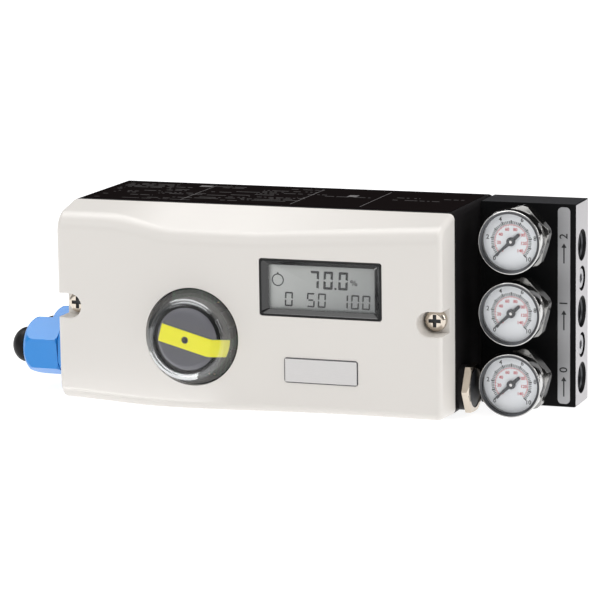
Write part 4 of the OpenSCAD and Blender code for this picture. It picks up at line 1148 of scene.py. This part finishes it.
def buildRecesses(look):
    low, high = span("cover_screws")
    z = (low.z + high.z) / 2
    a, b = look["half"], look["reach"]
    cross = ((-a, -b), (a, -b), (a, -a), (b, -a), (b, a), (a, a),
             (a, b), (-a, b), (-a, a), (-b, a), (-b, -a), (-a, -a))
    # painted shade: dark floors sunk in the recesses stand in for the shade there
    crossShades = bmesh.new()
    for x in (low.x + look["headRadius"], high.x - look["headRadius"]):
        prism([(x + px, z + pz) for px, pz in cross], low.y + look["top"], low.y + look["floor"], crossShades)
    addPiece("crossShadeFloors", crossShades, "steel", "cover", finish="needle_dark")
    low, high = span("block_screws")
    keyShades = bmesh.new()
    for z in (low.z + look["boltRadius"], high.z - look["boltRadius"]):
        prism(circlePoints(0, z, look["key"], 6, math.pi / 2), look["keyTop"], look["keyFloor"], keyShades)
    keyShades.transform(facingRight(high.x, (low.y + high.y) / 2))
    addPiece("keyShadeFloors", keyShades, "steel", "base", finish="needle_dark")


buildRecesses(recess)


# Pieces that keep their construction and get rounded edges, by bevel width; some get a brighter finish
rounded = {"housing": 0.5, "gauge_block": 0.4, "gland_body_front": 0.35, "gland_body_rear": 0.35,
           "gland_nut_front": 0.45, "gland_nut_rear": 0.45, **{f"gauge_socket_{i}": 0.3 for i in (1, 2, 3)},
           "cover_screws": 0.15, "block_screws": 0.2, "terminal_block": 0.25,
           "display_holder": 0.3, "button_switches": 0.25, "pneumatic_module": 0.5, "manifold": 0.4,
           "feedback_shaft": 0.3, "board_screws": 0.25, "sensor_housing": 0.4,
           **{f"button_{key}": 0.3 for key in ("mode", "enter", "up", "down")}}
brighter = {**{f"gauge_socket_{i}": "socket_grey" for i in (1, 2, 3)}, "cover_screws": "nickel",
            "block_screws": "aluminium_bare"}


def buildRounded(sizes):
    for node, width in sizes.items():
        words = node.split("_")
        name = words[0] + "".join(word.capitalize() for word in words[1:]) + "Soft"
        addPiece(name, soften(cadMesh(node), width), slotOf[node], bodyOf[node], [node],
                 brighter.get(node, slotOf[node]), smooth=32, weighted=True)


buildRounded(rounded)
print("rounded pieces", len(rounded))


# Gland plugs: rubber domes with a soft lip
plug = {"radius": 8.2, "foot": 0.86, "footTall": 0.35, "lip": 1.0, "steps": 16, "reach": 8.0}


def buildPlugs(look):
    radius, lip, reach = look["radius"], look["lip"], look["reach"]
    outline = [(0, 0), (radius * look["foot"], 0), (radius, look["footTall"]), (radius, lip)]
    outline += [(radius * math.cos(a), lip + (reach - lip) * math.sin(a))
                for a in quarterTurn(look["steps"], 1)]
    for place in ("front", "rear"):
        node = f"gland_plug_{place}"
        centre = middle(node)
        bm = lathe([(r, -h) for r, h in outline], (0, 0), 72)
        turn = Matrix.Rotation(-math.pi / 2, 4, "Z")
        bm.transform(Matrix.Translation((span(node)[0].x + reach, centre.y, centre.z)) @ turn)
        addPiece("gland" + place.capitalize() + "Dome", bm, "rubber_black", "base", [node])


buildPlugs(plug)
print("glands")


# Vent: a nickel hexagon with a chamfered end and a dark filter sunk in it
vent = {"across": 20.3, "gap": 3.0, "reach": 1.3, "chamfer": 0.8, "bevel": 1.3, "recess": 8.7, "sink": 0.9,
        "stem": 5.95, "edge": 0.2, "sharp": 25, "discGap": 0.05, "discSink": 0.35, "discEdge": 0.2}


def buildVent(look):
    low, high = span("vent_body")
    centre = (low + high) / 2
    start = span("front_cover")[1].x + look["gap"]
    end = start - high.x - look["reach"]  # along -y until the shape is turned
    corner = look["across"] / 2 / math.cos(math.pi / 6)
    cone = [(0, 1), (corner, 1), (corner, end + look["chamfer"]), (corner - look["bevel"], end), (0, end)]
    limit = lathe(cone, (0, 0), 96)
    bm = carve(prism(circlePoints(0, 0, corner, 6), end, 0), limit, "INTERSECT")
    floor = end + look["sink"]
    hollow = prism(circlePoints(0, 0, look["recess"], 64), end - 1, floor)
    bm = soften(carve(bm, hollow, "DIFFERENCE"), look["edge"], look["sharp"])
    stem = look["stem"]
    lathe([(0, start - low.x), (stem, start - low.x), (stem, 0), (0, 0)], (0, 0), 64, bm)
    radius, face = look["recess"] - look["discGap"], end + look["discSink"]
    outline = filleted([(0, floor), (radius, floor), (radius, face, look["discEdge"]), (0, face)])
    disc = lathe(outline, (0, 0), 64)
    for shape in (bm, disc):
        shape.transform(facingRight(start, centre.y, centre.z))
    addPiece("ventHexagon", bm, "nickel", "base", ["vent_body"], smooth=32, weighted=True)
    addPiece("ventDisc", disc, slotOf["vent_filter"], "base", ["vent_filter"])


buildVent(vent)


# The nodes that keep their own shape take the finish of their slot
for name, node in frame["nodes"].items():
    node.data.materials.clear()
    node.data.materials.append(finishes[slotOf[name]])
print("finished nodes")


# Studio: a pale floor that curves up behind, a wide soft light, two soft boxes, dark and bright cards
studio = {"floor": tint(160, 160, 160), "tone": 0.985, "patch": 220, "rough": 0.9, "glow": 0.9,
          "under": 0.0002, "half": 9.0, "backY": 1.6, "frontY": -9.0, "bend": 0.5, "bendSteps": 12,
          "wallTop": 3.2, "surround": 0.37, "sky": 1.62, "skyAngle": 75}
softBoxes = {
    "keyBox": {"at": (-0.8, -1.4, 1.0), "to": (0.03, -0.04, 0.0), "size": (0.8, 0.8), "power": 5},
    "rightBox": {"at": (1.7, 0.15, 0.7), "to": (0.1, -0.03, 0.0), "size": (0.6, 0.9), "power": 7.5},
}
cards = {
    "frontCard": {"at": (1.15, -1.05, 0.25), "to": (0.13, -0.05, 0.0), "size": (0.55, 0.9)},
    "rightCard": {"at": (0.95, 0.75, 0.25), "to": (0.03, -0.05, 0.0), "size": (1.0, 0.9)},
    "backCard": {"at": (0.1, 1.25, 1.1), "to": (0.1, 0.0, 1.1), "size": (3.4, 2.1)},
    "topBox": {"at": (-0.29, 0.06, 1.25), "to": (-0.29, 0.06, 0.0), "size": (1.9, 0.5), "glow": 5.0},
    "floorBox": {"at": (-0.04, -0.097, -0.034), "to": (-0.04, -0.097, 0.5), "size": (0.09, 0.022),
                 "glow": 6.5},
}
cloth = {"patch": 30, "dark": (0.004, 0.004, 0.004), "light": (0.012, 0.012, 0.012), "rough": 0.95,
         "glowLow": (0.96, 0.96, 0.96), "glowHigh": (1, 1, 1)}


def aimed(place, target):  # a matrix that looks from one point to the other
    aim = Vector(target) - Vector(place)
    return Matrix.Translation(place) @ aim.to_track_quat("-Z", "Y").to_matrix().to_4x4()


def addStage(name, bm, finish):
    mesh = meshOf(name, bm)
    mesh.polygons.foreach_set("use_smooth", [True] * len(mesh.polygons))
    mesh.materials.append(finish.material)
    made = bpy.data.objects.new(name, mesh)
    scene.collection.objects.link(made)
    return made


def buildFloor(look):
    finish = Finish("floorPaper")
    patch = finish.noise(look["patch"], 2.0)
    finish.set({"Base Color": finish.shade(patch, look["floor"], look["tone"]), "Roughness": look["rough"],
                "Specular IOR Level": 0.0, "Emission Color": (1, 1, 1), "Emission Strength": look["glow"]})
    ground = cadBox[0].z - look["under"]
    back, bend, half = look["backY"], look["bend"], look["half"]
    line = [(look["frontY"], ground), (back, ground)]
    line += [(back + bend * math.sin(a), ground + bend * (1 - math.cos(a)))
             for a in quarterTurn(look["bendSteps"], 1)]
    line.append((back + bend, look["wallTop"]))
    bm = bmesh.new()
    rows = [[bm.verts.new((x, y, z)) for x in (-half, half)] for y, z in line]
    for first, second in zip(rows, rows[1:]):
        bm.faces.new([first[0], first[1], second[1], second[0]])
    addStage("floor", bm, finish)


def buildCards(places):  # seen only as reflections in bright metal and clear plastic
    for name, look in places.items():
        finish = Finish(name)
        weave = finish.noise(cloth["patch"], 3.0)
        finish.set({"Base Color": finish.mix(weave, cloth["dark"], cloth["light"]),
                    "Roughness": cloth["rough"], "Specular IOR Level": 0.0,
                    "Emission Color": finish.mix(weave, cloth["glowLow"], cloth["glowHigh"]),
                    "Emission Strength": look.get("glow", 0.0)})
        bm = bmesh.new()
        bmesh.ops.create_grid(bm, x_segments=1, y_segments=1, size=0.5)
        bm.transform(aimed(look["at"], look["to"]) @ Matrix.Diagonal((*look["size"], 1, 1)))
        made = addStage(name, bm, finish)
        made.visible_camera = made.visible_diffuse = made.visible_shadow = False


def addLamp(name, kind, place, settings):
    data = bpy.data.lights.new(name, kind)
    for key, value in settings.items():
        setattr(data, key, value)
    lamp = bpy.data.objects.new(name, data)
    lamp.matrix_world = place
    lamp.visible_camera = False
    scene.collection.objects.link(lamp)


def buildLights(look):
    world = bpy.data.worlds.new("surround")
    scene.world = world
    world.use_nodes = True
    shade = world.node_tree.nodes["Background"]
    shade.inputs["Color"].default_value = (1, 1, 1, 1)
    shade.inputs["Strength"].default_value = look["surround"]
    sky = {"energy": look["sky"], "angle": math.radians(look["skyAngle"])}
    addLamp("skyLamp", "SUN", Matrix.Identity(4), sky)
    for name, box in softBoxes.items():
        wide, tall = box["size"]
        size = {"shape": "RECTANGLE", "size": wide, "size_y": tall, "energy": box["power"]}
        addLamp(name, "AREA", aimed(box["at"], box["to"]), size)
    scene.view_settings.view_transform = "Standard"


buildFloor(studio)
buildCards(cards)
buildLights(studio)
print("studio")
